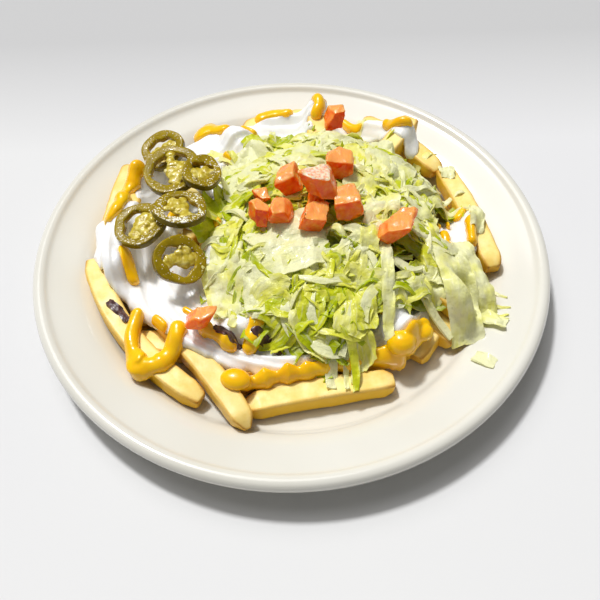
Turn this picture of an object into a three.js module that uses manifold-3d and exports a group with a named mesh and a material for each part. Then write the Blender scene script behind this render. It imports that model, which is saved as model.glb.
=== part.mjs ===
// Loaded cheese fries on a round restaurant plate: a pile of thick-cut fries under ribbons of cheese sauce
// and sour cream, with pickled jalapeno slices, shredded iceberg lettuce and diced tomato on top.
// Millimetres, +Z up. The origin is on the table under the plate's centre, and -Y is the diner's side.
import * as THREE from "three";
import { mergeVertices } from "three/addons/utils/BufferGeometryUtils.js";
import Module from "manifold-3d";

const wasm = await Module();
wasm.setup();

// Driving dimensions of the plate
const plateRadius = 133.5;
const plateSides = 48;
const floorHeight = 6.4;
const wellRadius = 94;
const footRadius = 78;
const rimHeight = 22.8;

// Driving dimensions of the food
const gap = 0.35; // air between pieces that touch
const fryWidth = 11.5;
const fryThickness = 10.5;
const steepest = 0.3; // rise of a fry over its run
const sunk = 1.4; // how far a fry presses into the ones under it
const cheeseWidth = 8.5;
const cheeseThickness = 6;
const creamWidth = 13;
const creamThickness = 4.8;
const lettuceCentre = [20, 2];
const lettuceReach = [66, 74];
const lettuceTopHeight = 49;
const lettuceEdgeHeight = 28;
const tomatoSize = 12;
const pepperThickness = 4.6;

const degrees = Math.PI / 180;

// A stream of repeatable random numbers between low and high.
function randomStream(seed) {
  let state = seed;
  return (low, high) => {
    state = (state * 16807) % 2147483647;
    return low + ((high - low) * (state - 1)) / 2147483646;
  };
}

// Solids: a closed geometry in, a solid out, and back again.
function solidOf(geometry) {
  const bare = geometry.clone();
  bare.deleteAttribute("normal");
  bare.deleteAttribute("uv");
  const merged = mergeVertices(bare, 1e-4);
  return new wasm.Manifold(
    new wasm.Mesh({
      numProp: 3,
      vertProperties: new Float32Array(merged.attributes.position.array),
      triVerts: new Uint32Array(merged.index.array),
    }),
  );
}

function geometryOf(solid) {
  const mesh = solid.getMesh();
  const points = new Float32Array(mesh.numVert * 3);
  for (let i = 0; i < mesh.numVert; i++)
    points.set(mesh.vertProperties.subarray(i * mesh.numProp, i * mesh.numProp + 3), i * 3);
  return new THREE.BufferGeometry()
    .setAttribute("position", new THREE.BufferAttribute(points, 3))
    .setIndex(new THREE.BufferAttribute(mesh.triVerts, 1));
}

const joined = (solids) => solids.reduce((whole, piece) => whole.add(piece));
const meets = (one, other) => one.intersect(other).volume() > 1e-6;

// The largest of the bodies that a cut leaves: loose scraps are dropped and sealed hollows filled.
function largestBody(solid) {
  const bodies = solid.decompose();
  return bodies.reduce((best, body) => (body.volume() > best.volume() ? body : best));
}

// Moves every vertex of a geometry by a rule.
function reshaped(geometry, rule) {
  const position = geometry.attributes.position;
  const point = new THREE.Vector3();
  for (let i = 0; i < position.count; i++) {
    point.fromBufferAttribute(position, i);
    rule(point);
    position.setXYZ(i, point.x, point.y, point.z);
  }
  return geometry;
}

// The plate's upper surface, from the axis out: floor, shoulder, rim and rolled bead.
const upperProfile = [
  [0, floorHeight],
  [wellRadius, floorHeight + 0.5],
  [99, 8.4],
  [104, 13.2],
  [110, 16.4],
  [125.6, 20.6],
  [127.6, 22.2],
  [130, rimHeight],
  [132.4, 21.8],
];
const lowerProfile = [
  [plateRadius, 19.2],
  [133, 16.8],
  [130.5, 15.2],
  [127.5, 15.6],
  [108, 10.5],
  [96, 3.6],
  [footRadius + 2, 2.6],
  [footRadius, 0],
  [footRadius - 5, 0],
  [footRadius - 6, 2.2],
  [0, 2.2],
];

function plateTop(radius) {
  const next = upperProfile.findIndex(([r]) => r > radius);
  if (next < 0) return 0;
  const [r0, z0] = upperProfile[next - 1];
  const [r1, z1] = upperProfile[next];
  return z0 + ((z1 - z0) * (radius - r0)) / (r1 - r0);
}

function makePlate() {
  const profile = [...upperProfile, ...lowerProfile].reverse().map(([r, z]) => new THREE.Vector2(r, z));
  return solidOf(new THREE.LatheGeometry(profile, plateSides).rotateX(Math.PI / 2));
}

// The relief is the height of whatever lies uppermost, on a square grid over the plate.
const reliefCell = 2;
const reliefHalf = 120;
const reliefCount = (2 * reliefHalf) / reliefCell + 1;
const compass = [0, 1, 2, 3, 4, 5, 6, 7].map((k) => [Math.cos((k * Math.PI) / 4), Math.sin((k * Math.PI) / 4)]);

class Relief {
  constructor(heightAt) {
    this.heights = new Float64Array(reliefCount * reliefCount);
    for (let j = 0; j < reliefCount; j++)
      for (let i = 0; i < reliefCount; i++)
        this.heights[j * reliefCount + i] = heightAt(i * reliefCell - reliefHalf, j * reliefCell - reliefHalf);
  }
  index(x, y) {
    const i = Math.min(reliefCount - 1, Math.max(0, Math.round((x + reliefHalf) / reliefCell)));
    const j = Math.min(reliefCount - 1, Math.max(0, Math.round((y + reliefHalf) / reliefCell)));
    return j * reliefCount + i;
  }
  at(x, y) {
    return this.heights[this.index(x, y)];
  }
  raise(x, y, z) {
    const k = this.index(x, y);
    this.heights[k] = Math.max(this.heights[k], z);
  }
  // The highest of a place and eight places round it, at half the radius and at the whole.
  highest(x, y, radius) {
    const near = [0.5, 1].flatMap((r) => compass.map(([c, s]) => this.at(x + r * radius * c, y + r * radius * s)));
    return Math.max(this.at(x, y), ...near);
  }
}

const relief = new Relief((x, y) => plateTop(Math.hypot(x, y)) + gap);

function raiseDisc(x, y, radius, z) {
  for (let r = 0; r <= radius; r += 1.5)
    for (let a = 0; a < 24; a++) relief.raise(x + r * Math.cos(a / 4), y + r * Math.sin(a / 4), z);
}

// Fries. Each is a slightly bowed bar: middle of its chord, heading in degrees, length and bow.
// The ones along the edge lie where the diner sees them; the rest fill the pile by rule.
const outerFries = [
  { x: -73.5, y: -44, heading: -54, length: 99, bow: -9 },
  { x: 12, y: -83, heading: 9, length: 70, bow: 1 },
  { x: 95, y: 18, heading: -77, length: 72, bow: 1.5 },
  { x: -92.5, y: 33, heading: -101, length: 58, bow: -1 },
  { x: -1, y: 97, heading: 6, length: 48, bow: 2 },
  { x: 64, y: 74, heading: -45, length: 56, bow: 3 },
];
const reachingFries = [
  { x: -44, y: -71, heading: -54, length: 74, bow: 2, tip: 0.3 },
  { x: 56, y: -38, heading: -38, length: 58, bow: 2 },
  { x: 44, y: -45, heading: -58, length: 42, bow: 0 },
  { x: -23, y: 80, heading: -26, length: 62, bow: -2 },
  { x: 18, y: 77, heading: 88, length: 54, bow: 1 },
  { x: 52, y: 62, heading: 48, length: 60, bow: -2 },
  { x: -64, y: 62, heading: 42, length: 56, bow: -2 },
  { x: -86, y: 6, heading: -96, length: 54, bow: -2 },
  { x: 84, y: -16, heading: -62, length: 50, bow: 2 },
];
const moundHeight = 26;
const moundReach = 94;
const surfaceFryCount = 30;
const surfaceFryReach = 74;
const tallestLift = 6;
const headingsTried = 6;
const goldenAngle = 2.399963;

// The place on a fry at s along its chord from the middle, with a sideways offset.
function alongFry(fry, s, across) {
  const angle = fry.heading * degrees;
  const aside = fry.bow * (1 - 4 * (s / fry.length) ** 2) + across;
  return [
    fry.x + s * Math.cos(angle) - aside * Math.sin(angle),
    fry.y + s * Math.sin(angle) + aside * Math.cos(angle),
  ];
}

// A fry comes to rest on the line over its middle that joins the two highest supports, one to each side.
function rested(fry, sink = sunk) {
  const supports = [];
  for (let s = 3 - fry.length / 2; s <= fry.length / 2 - 3; s += 2.5)
    supports.push([s, Math.max(...[-0.35, 0, 0.35].map((a) => relief.at(...alongFry(fry, s, a * fryWidth))))]);
  let best = -Infinity;
  let slope = 0;
  for (const [s, u] of supports)
    for (const [t, v] of supports) {
      if (s > 0 || t <= 0) continue;
      const grade = (v - u) / (t - s);
      if (u - grade * s > best) [best, slope] = [u - grade * s, grade];
    }
  slope = THREE.MathUtils.clamp(slope, -steepest, steepest);
  return { ...fry, slope, under: Math.max(...supports.map(([s, z]) => z - slope * s)) - sink };
}

function laid(fry) {
  for (let s = -fry.length / 2; s <= fry.length / 2; s += 1.5)
    for (let a = -1; a <= 1; a += 0.25) {
      const half = a * (Math.abs(s) > 0.42 * fry.length ? 0.36 : 0.48) * fryWidth;
      relief.raise(...alongFry(fry, s, half), fry.under + fry.slope * s + fryThickness);
    }
  return fry;
}

// Fries buried in the pile make a mound; those that show lie on it.
function moundTop(x, y) {
  const away = Math.min(1, Math.hypot(x, y) / moundReach);
  return floorHeight + 1 + (moundHeight - floorHeight - 1) * (1 - away ** 2);
}

// How far out a place is in the ellipse that the lettuce covers.
const lettuceShare = (x, y) =>
  Math.hypot((x - lettuceCentre[0]) / lettuceReach[0], (y - lettuceCentre[1]) / lettuceReach[1]);

// Each fry on the mound takes the heading, of a few, in which it lies lowest.
function surfaceFries() {
  const random = randomStream(11);
  const fries = [];
  for (let k = 0; k < surfaceFryCount; k++) {
    const radius = surfaceFryReach * Math.sqrt((k + 0.5) / surfaceFryCount);
    const place = { x: radius * Math.cos(k * goldenAngle + 1), y: radius * Math.sin(k * goldenAngle + 1) };
    const length = random(50, 74);
    const bow = random(-3, 3);
    const first = random(0, 180);
    if (lettuceShare(place.x, place.y) < 0.62) continue;
    let lowest = null;
    for (let h = 0; h < headingsTried; h++) {
      const fry = rested({ ...place, length, bow, heading: first + (h * 180) / headingsTried });
      const overRim = [-0.5, 0.5].some((e) => Math.hypot(...alongFry(fry, e * length, 0)) > 99);
      const height = fry.under + 20 * Math.abs(fry.slope) + (overRim ? 40 : 0);
      if (!lowest || height < lowest.height) lowest = { ...fry, height };
    }
    if (lowest.height < moundTop(place.x, place.y) + tallestLift) fries.push(laid(lowest));
  }
  return fries;
}

const fryPile = outerFries.map((fry) => laid(rested(fry, 0)));
for (let x = -moundReach; x <= moundReach; x += reliefCell)
  for (let y = -moundReach; y <= moundReach; y += reliefCell)
    if (Math.hypot(x, y) < moundReach) relief.raise(x, y, moundTop(x, y));
fryPile.push(...reachingFries.map((fry) => laid(rested(fry))), ...surfaceFries());

const fryStations = [0, 0.07, 0.36, 0.64, 0.93, 1];
const fryTaper = [0.7, 0.95, 1, 0.97, 0.93, 0.64];

// A bar with chamfered edges and blunt, narrower ends.
function makeFry(fry) {
  const rows = fryStations.length - 1;
  const bar = new THREE.CylinderGeometry(1, 1, 1, 8, rows).rotateY(Math.PI / 8);
  const squared = (c) => Math.sign(c) * Math.abs(c) ** 0.35;
  reshaped(bar, (p) => {
    const row = Math.round((p.y + 0.5) * rows);
    const s = (fryStations[row] - 0.5) * fry.length;
    const taper = row === rows && fry.tip ? fry.tip : fryTaper[row];
    const rim = Math.hypot(p.x, p.z) > 0.5 ? taper / 2 : 0;
    const [x, y] = alongFry(fry, s, -rim * squared(p.x) * fryWidth);
    const middle = fry.under + fry.slope * s + (fryThickness * (1 + taper)) / 4;
    p.set(x, y, middle + rim * squared(p.z) * fryThickness);
  });
  return solidOf(bar);
}

// Sauces flow into each other, so each is poured over the fries alone.
const soaked = 0.3;
const friesAlone = new Relief((x, y) => relief.at(x, y));

// A sauce is poured along a smooth line over the fries, and lies as a thick round-ended ribbon.
// Beads make it swell and thin again; spacing is the step between its cross sections.
function poured({ points, beads = 0, wide = 1 }, width, thickness, spacing) {
  const line = new THREE.CatmullRomCurve3(points.map(([x, y]) => new THREE.Vector3(x, y, 0)), false, "centripetal");
  const steps = Math.max(2, Math.round(line.getLength() / spacing));
  const places = line.getSpacedPoints(steps);
  const raw = places.map((p) => friesAlone.highest(p.x, p.y, width * wide * 0.3) - soaked);
  const stations = places.map((p, k) => ({
    x: p.x,
    y: p.y,
    z: 0.5 * raw[k] + 0.25 * (raw[Math.max(0, k - 1)] + raw[Math.min(steps, k + 1)]),
    size: 1 + beads * Math.sin((k * Math.PI) / 2 + 0.6),
  }));
  const ribbon = { stations, width: width * wide, thickness };
  for (const [k, st] of stations.entries()) {
    const next = stations[Math.min(steps, k + 1)];
    for (let t = 0; t < 1; t += 0.25)
      for (const r of [0, 0.25, 0.45])
        for (const [c, s] of compass)
          relief.raise(
            st.x + (next.x - st.x) * t + r * ribbon.width * c,
            st.y + (next.y - st.y) * t + r * ribbon.width * s,
            st.z + (next.z - st.z) * t + thickness * (0.92 - 1.8 * r * r),
          );
  }
  return ribbon;
}

function makeRibbon({ stations, width, thickness }, sides) {
  const rows = stations.length + 1;
  const last = stations.length - 1;
  const tube = new THREE.SphereGeometry(1, sides, rows).rotateX(Math.PI / 2);
  reshaped(tube, (p) => {
    const row = Math.round((Math.acos(THREE.MathUtils.clamp(p.z, -1, 1)) / Math.PI) * rows);
    const at = THREE.MathUtils.clamp(row - 1, 0, last);
    const here = stations[at];
    const before = stations[Math.max(0, at - 1)];
    const after = stations[Math.min(last, at + 1)];
    const heading = new THREE.Vector2(after.x - before.x, after.y - before.y).normalize();
    const pole = row === 0 || row === rows;
    const beyond = pole ? Math.sign(row - 1) * width * 0.35 : 0;
    const round = Math.hypot(p.x, p.y) || 1;
    const size = pole ? 0 : (here.size * (at === 0 || at === last ? 0.78 : 1)) / 2;
    const across = (-p.x / round) * width * size;
    p.set(
      here.x + heading.x * beyond - heading.y * across,
      here.y + heading.y * beyond + heading.x * across,
      here.z + thickness * 0.42 + (p.y / round) * thickness * size,
    );
  });
  return solidOf(tube);
}

// Cheese sauce: each run is a line of places on the plate.
const cheeseRuns = [
  { points: [[-76, -42], [-79, -56], [-76, -69], [-68, -74], [-60, -70], [-55, -62], [-61, -54]] },
  { points: [[-31, -79], [-20, -77], [-8, -76], [4, -75], [16, -72], [30, -70]], beads: 0.16 },
  { points: [[-17, -53], [-21, -64]], beads: 0.1 },
  { points: [[-46, -51], [-38, -58], [-30, -63]], beads: 0.1 },
  { points: [[-84, 44], [-90, 30], [-96, 14]], beads: 0.2, wide: 1.2 },
  { points: [[-84, -10], [-80, -22]] },
  { points: [[-16, 98], [-4, 100], [7, 101]], beads: 0.1 },
  { points: [[-50, 88], [-38, 84], [-28, 79]] },
  { points: [[18, 101], [19, 90]] },
  { points: [[35, 95], [42, 89]] },
  { points: [[58, 82], [68, 74]] },
  { points: [[42, -64], [52, -63], [61, -53]], beads: 0.1, wide: 1.4 },
  { points: [[79, 2], [80, -13]], beads: 0.1 },
  { points: [[94, 8], [93, -5]] },
];
// Seasoned beef: short dark strips that lie between the sauces.
const beefRuns = [
  [[-88, -37], [-80, -43]],
  [[-35, -58], [-27, -63]],
  [[-16, -62], [-7, -65]],
  [[-30, -43], [-20, -47]],
  [[84, -14], [89, -26]],
];
// Sour cream: neighbouring runs flow together into a sheet that leaves holes.
const creamRuns = [
  { points: [[-96, 12], [-92, -8], [-80, -26], [-64, -45], [-46, -60], [-26, -72], [-4, -77], [14, -73]] },
  { points: [[-84, 24], [-80, 2], [-67, -20], [-50, -38], [-30, -50], [-8, -57], [6, -60]], wide: 1.15 },
  { points: [[-64, 0], [-55, -20], [-40, -32], [-26, -40]] },
  { points: [[-76, 46], [-70, 28], [-64, 14]], wide: 1.2 },
  { points: [[-60, 72], [-40, 78], [-16, 84], [8, 92], [28, 90]], wide: 1.1 },
  { points: [[-56, 60], [-36, 64], [-14, 68], [8, 74]], wide: 1.2 },
  { points: [[-38, 48], [-20, 50], [-4, 54]], wide: 1.2 },
  { points: [[66, 16], [78, 10], [92, 2], [86, -10], [80, -24]], wide: 0.85 },
  { points: [[34, -55], [48, -54], [62, -50]], wide: 0.85 },
  { points: [[46, 84], [60, 80], [70, 68]], wide: 0.9 },
];
const cheese = cheeseRuns.map((run) => poured(run, cheeseWidth, cheeseThickness, 9));
const beef = beefRuns.map((points) => poured({ points }, 6, 4.5, 6));
const cream = creamRuns.map((run) => poured(run, creamWidth, creamThickness, 14));

// A solid between two height rules over an ellipse of rings and sides.
function makeMound([cx, cy], [rx, ry], rings, sides, topAt, bottomAt) {
  const rows = 2 * rings + 1;
  const ball = new THREE.SphereGeometry(1, sides, rows).rotateX(Math.PI / 2);
  reshaped(ball, (p) => {
    const row = Math.round((Math.acos(THREE.MathUtils.clamp(p.z, -1, 1)) / Math.PI) * rows);
    const out = Math.min(row, rows - row) / rings;
    const angle = Math.atan2(p.y, p.x);
    const [x, y] = [cx + rx * out * Math.cos(angle), cy + ry * out * Math.sin(angle)];
    p.set(x, y, row <= rings ? topAt(x, y) : bottomAt(x, y));
  });
  return solidOf(ball);
}

const plate = makePlate();
const fryCore = makeMound(
  [0, 0],
  [86, 86],
  4,
  18,
  (x, y) => moundTop(x, y) + 1,
  () => floorHeight + 0.5 + gap,
);
const friesWithSauces = joined([
  fryCore,
  ...fryPile.map(makeFry),
  ...cheese.map((ribbon) => makeRibbon(ribbon, 8)),
  ...beef.map((strip) => makeRibbon(strip, 6)),
  ...cream.map((ribbon) => makeRibbon(ribbon, 6)),
]);
const loadedFries = largestBody(largestBody(friesWithSauces).subtract(plate.translate([0, 0, gap])));

// Lowers a piece until it touches what is there, then lifts it by the gap.
function dropped(piece, below) {
  let clear = 110 - piece.boundingBox().min[2];
  for (let step = 8; step > 0.04; step /= 2)
    while (!meets(piece.translate([0, 0, clear - step]), below) && clear > -40) clear -= step;
  return piece.translate([0, 0, clear + gap]);
}

// Pickled jalapeno slices: a ring of skin and flesh with the seed rib across it.
const pepperSlices = [
  { x: -68, y: 57, radius: 12.5, lean: [14, -14], rib: 20 },
  { x: -75.5, y: 1, radius: 13.5, lean: [6, -10], rib: 70 },
  { x: -61, y: 36, radius: 16, lean: [4, -4], rib: 100 },
  { x: -54, y: -24, radius: 13, lean: [24, 26], rib: 30 },
  { x: -44.5, y: 28, radius: 11, lean: [2, 10], rib: 10 },
  { x: -54.5, y: 4, radius: 13.5, lean: [-8, 4], rib: 130 },
];

function makePepper({ x, y, radius, lean, rib }, seed) {
  const half = pepperThickness / 2;
  const wall = 3.6;
  const profile = [
    [radius - wall, -half],
    [radius - 0.6, -half],
    [radius, 0],
    [radius - 0.6, half],
    [radius - wall, half],
    [radius - wall, -half],
  ].map(([r, z]) => new THREE.Vector2(r, z));
  const ring = solidOf(new THREE.LatheGeometry(profile, 15).rotateX(Math.PI / 2));
  const seeds = new THREE.CylinderGeometry(radius * 0.34, radius * 0.4, half * 1.3, 6).rotateX(Math.PI / 2);
  const bar = new THREE.BoxGeometry(2 * radius - wall, radius * 0.3, half * 1.1);
  const whole = ring.add(solidOf(seeds)).add(solidOf(bar).rotate([0, 0, rib]));
  const stretch = 1 + 0.05 * Math.sin(seed * 2.7);
  return whole
    .scale([stretch, 1 / stretch, 1])
    .rotate([lean[0], lean[1], 0])
    .translate([x, y, 0]);
}

const peppers = [];
let stacked = loadedFries;
for (const [k, slice] of pepperSlices.entries()) {
  const pepper = dropped(makePepper(slice, k), stacked);
  peppers.push(pepper);
  stacked = stacked.add(pepper);
  raiseDisc(slice.x, slice.y, slice.radius, pepper.boundingBox().max[2]);
}

// Diced tomato: uneven cubes, turned any way, each dropped onto what lies below it.
const besideLettuce = [
  { x: -43, y: -56, long: 1.5 },
  { x: 27, y: 79, size: 0.85 },
];
const onLettuce = [
  { x: -15.5, y: -3, size: 0.8 },
  { x: -14, y: 13, size: 0.7 },
  { x: -3.5, y: -4 },
  { x: 0, y: 15, size: 1.05 },
  { x: 11.5, y: -9, long: 1.4, size: 0.85 },
  { x: 14.5, y: 6, size: 0.9 },
  { x: 26, y: 26 },
  { x: 28.5, y: -4, size: 1.05 },
  { x: 14, y: 3, long: 1.4, size: 1.05 },
  { x: 51, y: -15, long: 1.8 },
];

function makeTomato({ x, y, long = 1, size = 1 }, k) {
  const edge = tomatoSize * size;
  const cube = new THREE.BoxGeometry(1, 1, 1, 2, 2, 2);
  reshaped(cube, (p) => {
    const shy = [0, 1, 0.97, 0.9][[p.x, p.y, p.z].filter((c) => Math.abs(c) > 0.4).length];
    const skew = (a, b) => 1 + 0.07 * Math.sin(4 * a + 3 * b + 2.3 * k);
    p.set(
      p.x * shy * edge * long * skew(p.y, p.z),
      p.y * shy * edge * skew(p.z, p.x),
      p.z * shy * edge * 0.85 * skew(p.x, p.y),
    );
  });
  return solidOf(cube)
    .rotate([8 * Math.sin(k * 2.1), 8 * Math.sin(k * 3.7 + 1), 8 * Math.sin(k * 1.3)])
    .translate([x, y, 0]);
}

const tomatoes = [];
function scatterTomatoes(dice) {
  for (const die of dice) {
    const tomato = dropped(makeTomato(die, tomatoes.length), stacked);
    tomatoes.push(tomato);
    stacked = stacked.add(tomato);
  }
}
scatterTomatoes(besideLettuce);
besideLettuce.forEach(({ x, y }, k) => raiseDisc(x, y, tomatoSize * 0.8, tomatoes[k].boundingBox().max[2]));

// Shredded lettuce: a springy heap of strips and torn leaves over a core.
function lettuceHeight(x, y) {
  const away = Math.min(1, lettuceShare(x, y));
  const dome = lettuceEdgeHeight + (lettuceTopHeight - lettuceEdgeHeight) * (1 - away ** 2.6);
  const uneven = 1.6 * Math.sin(x / 7.5 + 1) * Math.cos(y / 6.5) + 1.2 * Math.sin((x + y) / 11);
  return Math.max(dome + uneven, relief.highest(x, y, 5) + 1);
}

// A flat sheet whose underside is split the same way as its upper side, so that a twist can't make it cross itself.
function makeSheet(columns, rows) {
  const sheet = new THREE.BoxGeometry(1, 1, 1, columns, rows, 1);
  const { start, count } = sheet.groups[5];
  const index = sheet.index.array;
  for (let i = start; i < start + count; i += 6) {
    const [a, b, d, , c] = index.slice(i, i + 6);
    index.set([a, b, c, a, c, d], i);
  }
  return sheet;
}

// A strip or leaf: a thin wavy sheet that follows the heap under it.
function makeLeaf({ x, y, heading, length, width, curl = 0, lift = 0.8, phase = 0, columns = 4, rows = 1 }) {
  const sheet = makeSheet(columns, rows);
  const angle = heading * degrees;
  const thickness = rows > 1 ? 1.3 : 1.5;
  reshaped(sheet, (p) => {
    const s = p.x * length;
    const taper = 1 - 1.6 * p.x ** 2 * (rows > 1 ? 0.9 : 0.7);
    const across = p.y * width * taper + curl * (4 * p.x * p.x - 0.3);
    const [u, v] = [
      x + s * Math.cos(angle) - across * Math.sin(angle),
      y + s * Math.sin(angle) + across * Math.cos(angle),
    ];
    const arch = 1 - 4 * p.x * p.x;
    const ruffle = 0.6 + Math.sin(s / 5 + phase + 4 * p.y);
    const bedded = lettuceHeight(u, v) - 4 + arch * (lift + 4.5 + ruffle);
    p.set(u, v, Math.max(bedded, relief.highest(u, v, 6) + 1.4 + 0.3 * ruffle) + p.z * thickness);
  });
  return solidOf(sheet);
}

const placedLeaves = [
  { x: 4, y: -27, heading: 20, length: 36, width: 28, lift: 3 },
  { x: 82, y: -26, heading: -52, length: 62, width: 24, lift: 2 },
  { x: -31, y: -22, heading: -98, length: 38, width: 18, lift: 1 },
  { x: -14, y: 44, heading: -12, length: 36, width: 24, lift: 1 },
  { x: 62, y: 46, heading: 30, length: 40, width: 26, lift: 2 },
  { x: 88, y: 22, heading: -70, length: 36, width: 20, lift: 1 },
  { x: 50, y: 12, heading: -20, length: 38, width: 22, lift: 2 },
  { x: 34, y: -44, heading: -70, length: 36, width: 20, lift: 2 },
  { x: 6, y: 66, heading: 50, length: 36, width: 22, lift: 1 },
  { x: 58, y: -36, heading: -30, length: 40, width: 20, lift: 1 },
].map((leaf, k) => ({ ...leaf, phase: k * 1.7, columns: 5, rows: 2 }));
const hangingStrips = [
  { x: 17, y: -70, heading: -94, length: 42, width: 6 },
  { x: 30, y: -62, heading: -80, length: 36, width: 5 },
  { x: 2, y: -62, heading: -104, length: 34, width: 6 },
  { x: 42, y: -66, heading: -60, length: 30, width: 6 },
  { x: -30, y: -46, heading: -120, length: 34, width: 6 },
  { x: -36, y: -34, heading: -150, length: 26, width: 6 },
  { x: -34, y: 54, heading: 140, length: 30, width: 5 },
  { x: 30, y: 84, heading: 70, length: 30, width: 6 },
  { x: 74, y: 60, heading: 40, length: 30, width: 6 },
  { x: 86, y: -40, heading: -20, length: 26, width: 6 },
];
const looseStripCount = 17;

function looseStrips() {
  const random = randomStream(71);
  const strips = [];
  for (let k = 0; k < looseStripCount; k++) {
    const out = Math.sqrt((k + 0.5) / looseStripCount) * 0.98;
    strips.push({
      x: lettuceCentre[0] + lettuceReach[0] * out * Math.cos(k * goldenAngle),
      y: lettuceCentre[1] + lettuceReach[1] * out * Math.sin(k * goldenAngle),
      heading: random(0, 180),
      length: random(26, 46),
      width: random(4.5, 7.5),
      curl: random(-6, 6),
      lift: random(0.2, 3),
      phase: random(0, 6),
    });
  }
  return strips;
}

const lettuceCore = makeMound(
  lettuceCentre,
  lettuceReach.map((reach) => reach * 0.84),
  6,
  22,
  (x, y) => Math.max(lettuceHeight(x, y) - 3, relief.highest(x, y, 9) + 2.5),
  (x, y) => relief.highest(x, y, 9) + gap,
);
let lettuce = meets(lettuceCore, stacked) ? lettuceCore.subtract(stacked.translate([0, 0, gap])) : lettuceCore;
for (const leaf of [...placedLeaves, ...hangingStrips, ...looseStrips()]) {
  const piece = makeLeaf(leaf);
  if (meets(piece, stacked) || meets(piece.translate([0, 0, -gap]), stacked) || !meets(piece, lettuce)) continue;
  lettuce = lettuce.add(piece);
}
lettuce = largestBody(lettuce);
stacked = stacked.add(lettuce);
scatterTomatoes(onLettuce);

// One shred fell on the rim of the plate.
const fallenPlace = new THREE.Vector2(91, -70);
const fallenShred = reshaped(makeSheet(3, 2), (p) => {
  const cup = 7 * p.x * p.x + 3 * p.y * p.y;
  p.set(p.x * 10 * (1 - p.y * 0.3), p.y * 7, cup * 0.5 + p.z * 1.2);
});
const lettuceScrap = dropped(
  solidOf(fallenShred)
    .rotate([0, -15, fallenPlace.angle() / degrees])
    .translate([fallenPlace.x, fallenPlace.y, 0]),
  plate,
);

const creamWhiteGlaze = new THREE.MeshStandardMaterial({ color: 0xf2efe6, roughness: 0.25, metalness: 0 });
const goldenFries = new THREE.MeshStandardMaterial({ color: 0xf0cf7a, roughness: 0.6, metalness: 0 });
const olivePepper = new THREE.MeshStandardMaterial({ color: 0x7a7726, roughness: 0.35, metalness: 0 });
const paleLettuce = new THREE.MeshStandardMaterial({ color: 0xd3dfa0, roughness: 0.5, metalness: 0 });
const tomatoRed = new THREE.MeshStandardMaterial({ color: 0xe2643f, roughness: 0.35, metalness: 0 });

const dish = new THREE.Group();
function addNode(name, solid, material) {
  const mesh = new THREE.Mesh(geometryOf(solid), material);
  mesh.name = name;
  dish.add(mesh);
}
addNode("plate", plate, creamWhiteGlaze);
addNode("loaded_fries", loadedFries, goldenFries);
peppers.forEach((pepper, k) => addNode(`jalapeno_${k + 1}`, pepper, olivePepper));
addNode("lettuce", lettuce, paleLettuce);
addNode("lettuce_scrap", lettuceScrap, paleLettuce);
tomatoes.forEach((tomato, k) => addNode(`tomato_${k + 1}`, tomato, tomatoRed));
export default dish;
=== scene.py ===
# Loaded cheese fries on a round glazed plate: thick-cut fries under cheese sauce and sour cream,
# with pickled jalapeno slices, shredded iceberg lettuce and diced tomato.
import math

import bmesh
import bpy
import numpy as np
from mathutils import Euler, Matrix, Vector, noise
from mathutils.bvhtree import BVHTree


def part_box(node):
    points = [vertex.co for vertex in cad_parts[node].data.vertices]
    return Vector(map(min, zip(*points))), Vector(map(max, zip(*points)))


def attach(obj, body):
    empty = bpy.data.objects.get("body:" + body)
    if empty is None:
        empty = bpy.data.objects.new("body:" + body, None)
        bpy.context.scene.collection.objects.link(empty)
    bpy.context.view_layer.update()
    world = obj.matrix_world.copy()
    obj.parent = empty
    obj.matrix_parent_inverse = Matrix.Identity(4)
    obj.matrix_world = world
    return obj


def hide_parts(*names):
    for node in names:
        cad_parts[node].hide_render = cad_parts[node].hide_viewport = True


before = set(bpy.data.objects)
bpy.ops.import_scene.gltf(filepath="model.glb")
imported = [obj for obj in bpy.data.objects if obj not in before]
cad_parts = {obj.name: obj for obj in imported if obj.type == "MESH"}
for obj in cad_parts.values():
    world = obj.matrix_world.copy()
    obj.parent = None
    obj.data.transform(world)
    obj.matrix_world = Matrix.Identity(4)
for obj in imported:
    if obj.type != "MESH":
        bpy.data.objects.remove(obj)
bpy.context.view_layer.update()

MM = 0.001

# Sizes of the plate and the food, in millimetres, as the CAD has them
PLATE_RADIUS = 133.5
FLOOR_HEIGHT = 6.4
WELL_RADIUS = 94
RIM_START = 99
FOOT_RADIUS = 78
RIM_HEIGHT = 22.8
GAP = 0.35
FRY_WIDTH = 11.5
FRY_THICKNESS = 10.5
FRY_SUNK = 1.4
LETTUCE_CENTRE = (20, 2)
LETTUCE_REACH = (66, 74)
LETTUCE_TOP = 49
LETTUCE_EDGE = 28
PEPPER_THICKNESS = 4.6

# The turn, in radians, from each place to the next that spreads them evenly
GOLDEN_ANGLE = 2.399963
# Rays that find heights start above the food and reach past the table, in metres
RAY_START = 0.2
RAY_LENGTH = 0.3
DOWN = (0, 0, -1)
MERGED = 0.01 * MM


RANDOM_FACTOR = 16807
RANDOM_PRIME = 2147483647


def random_stream(seed):
    """Repeatable random numbers between low and high."""
    state = seed

    def draw(low, high):
        nonlocal state
        state = state * RANDOM_FACTOR % RANDOM_PRIME
        return low + (high - low) * (state - 1) / (RANDOM_PRIME - 1)

    return draw


def linear(hex_colour):
    """The linear colour of an sRGB hex value."""
    parts = [int(hex_colour[k:k + 2], 16) / 255 for k in (1, 3, 5)]
    return [p / 12.92 if p <= 0.04045 else ((p + 0.055) / 1.055) ** 2.4 for p in parts] + [1.0]


def in_use(sockets, name):
    """The socket with a name, of those that the node's settings leave in use, or the one with a number."""
    if isinstance(name, int):
        return sockets[name]
    return next(socket for socket in sockets if socket.name == name and socket.enabled)


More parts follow.
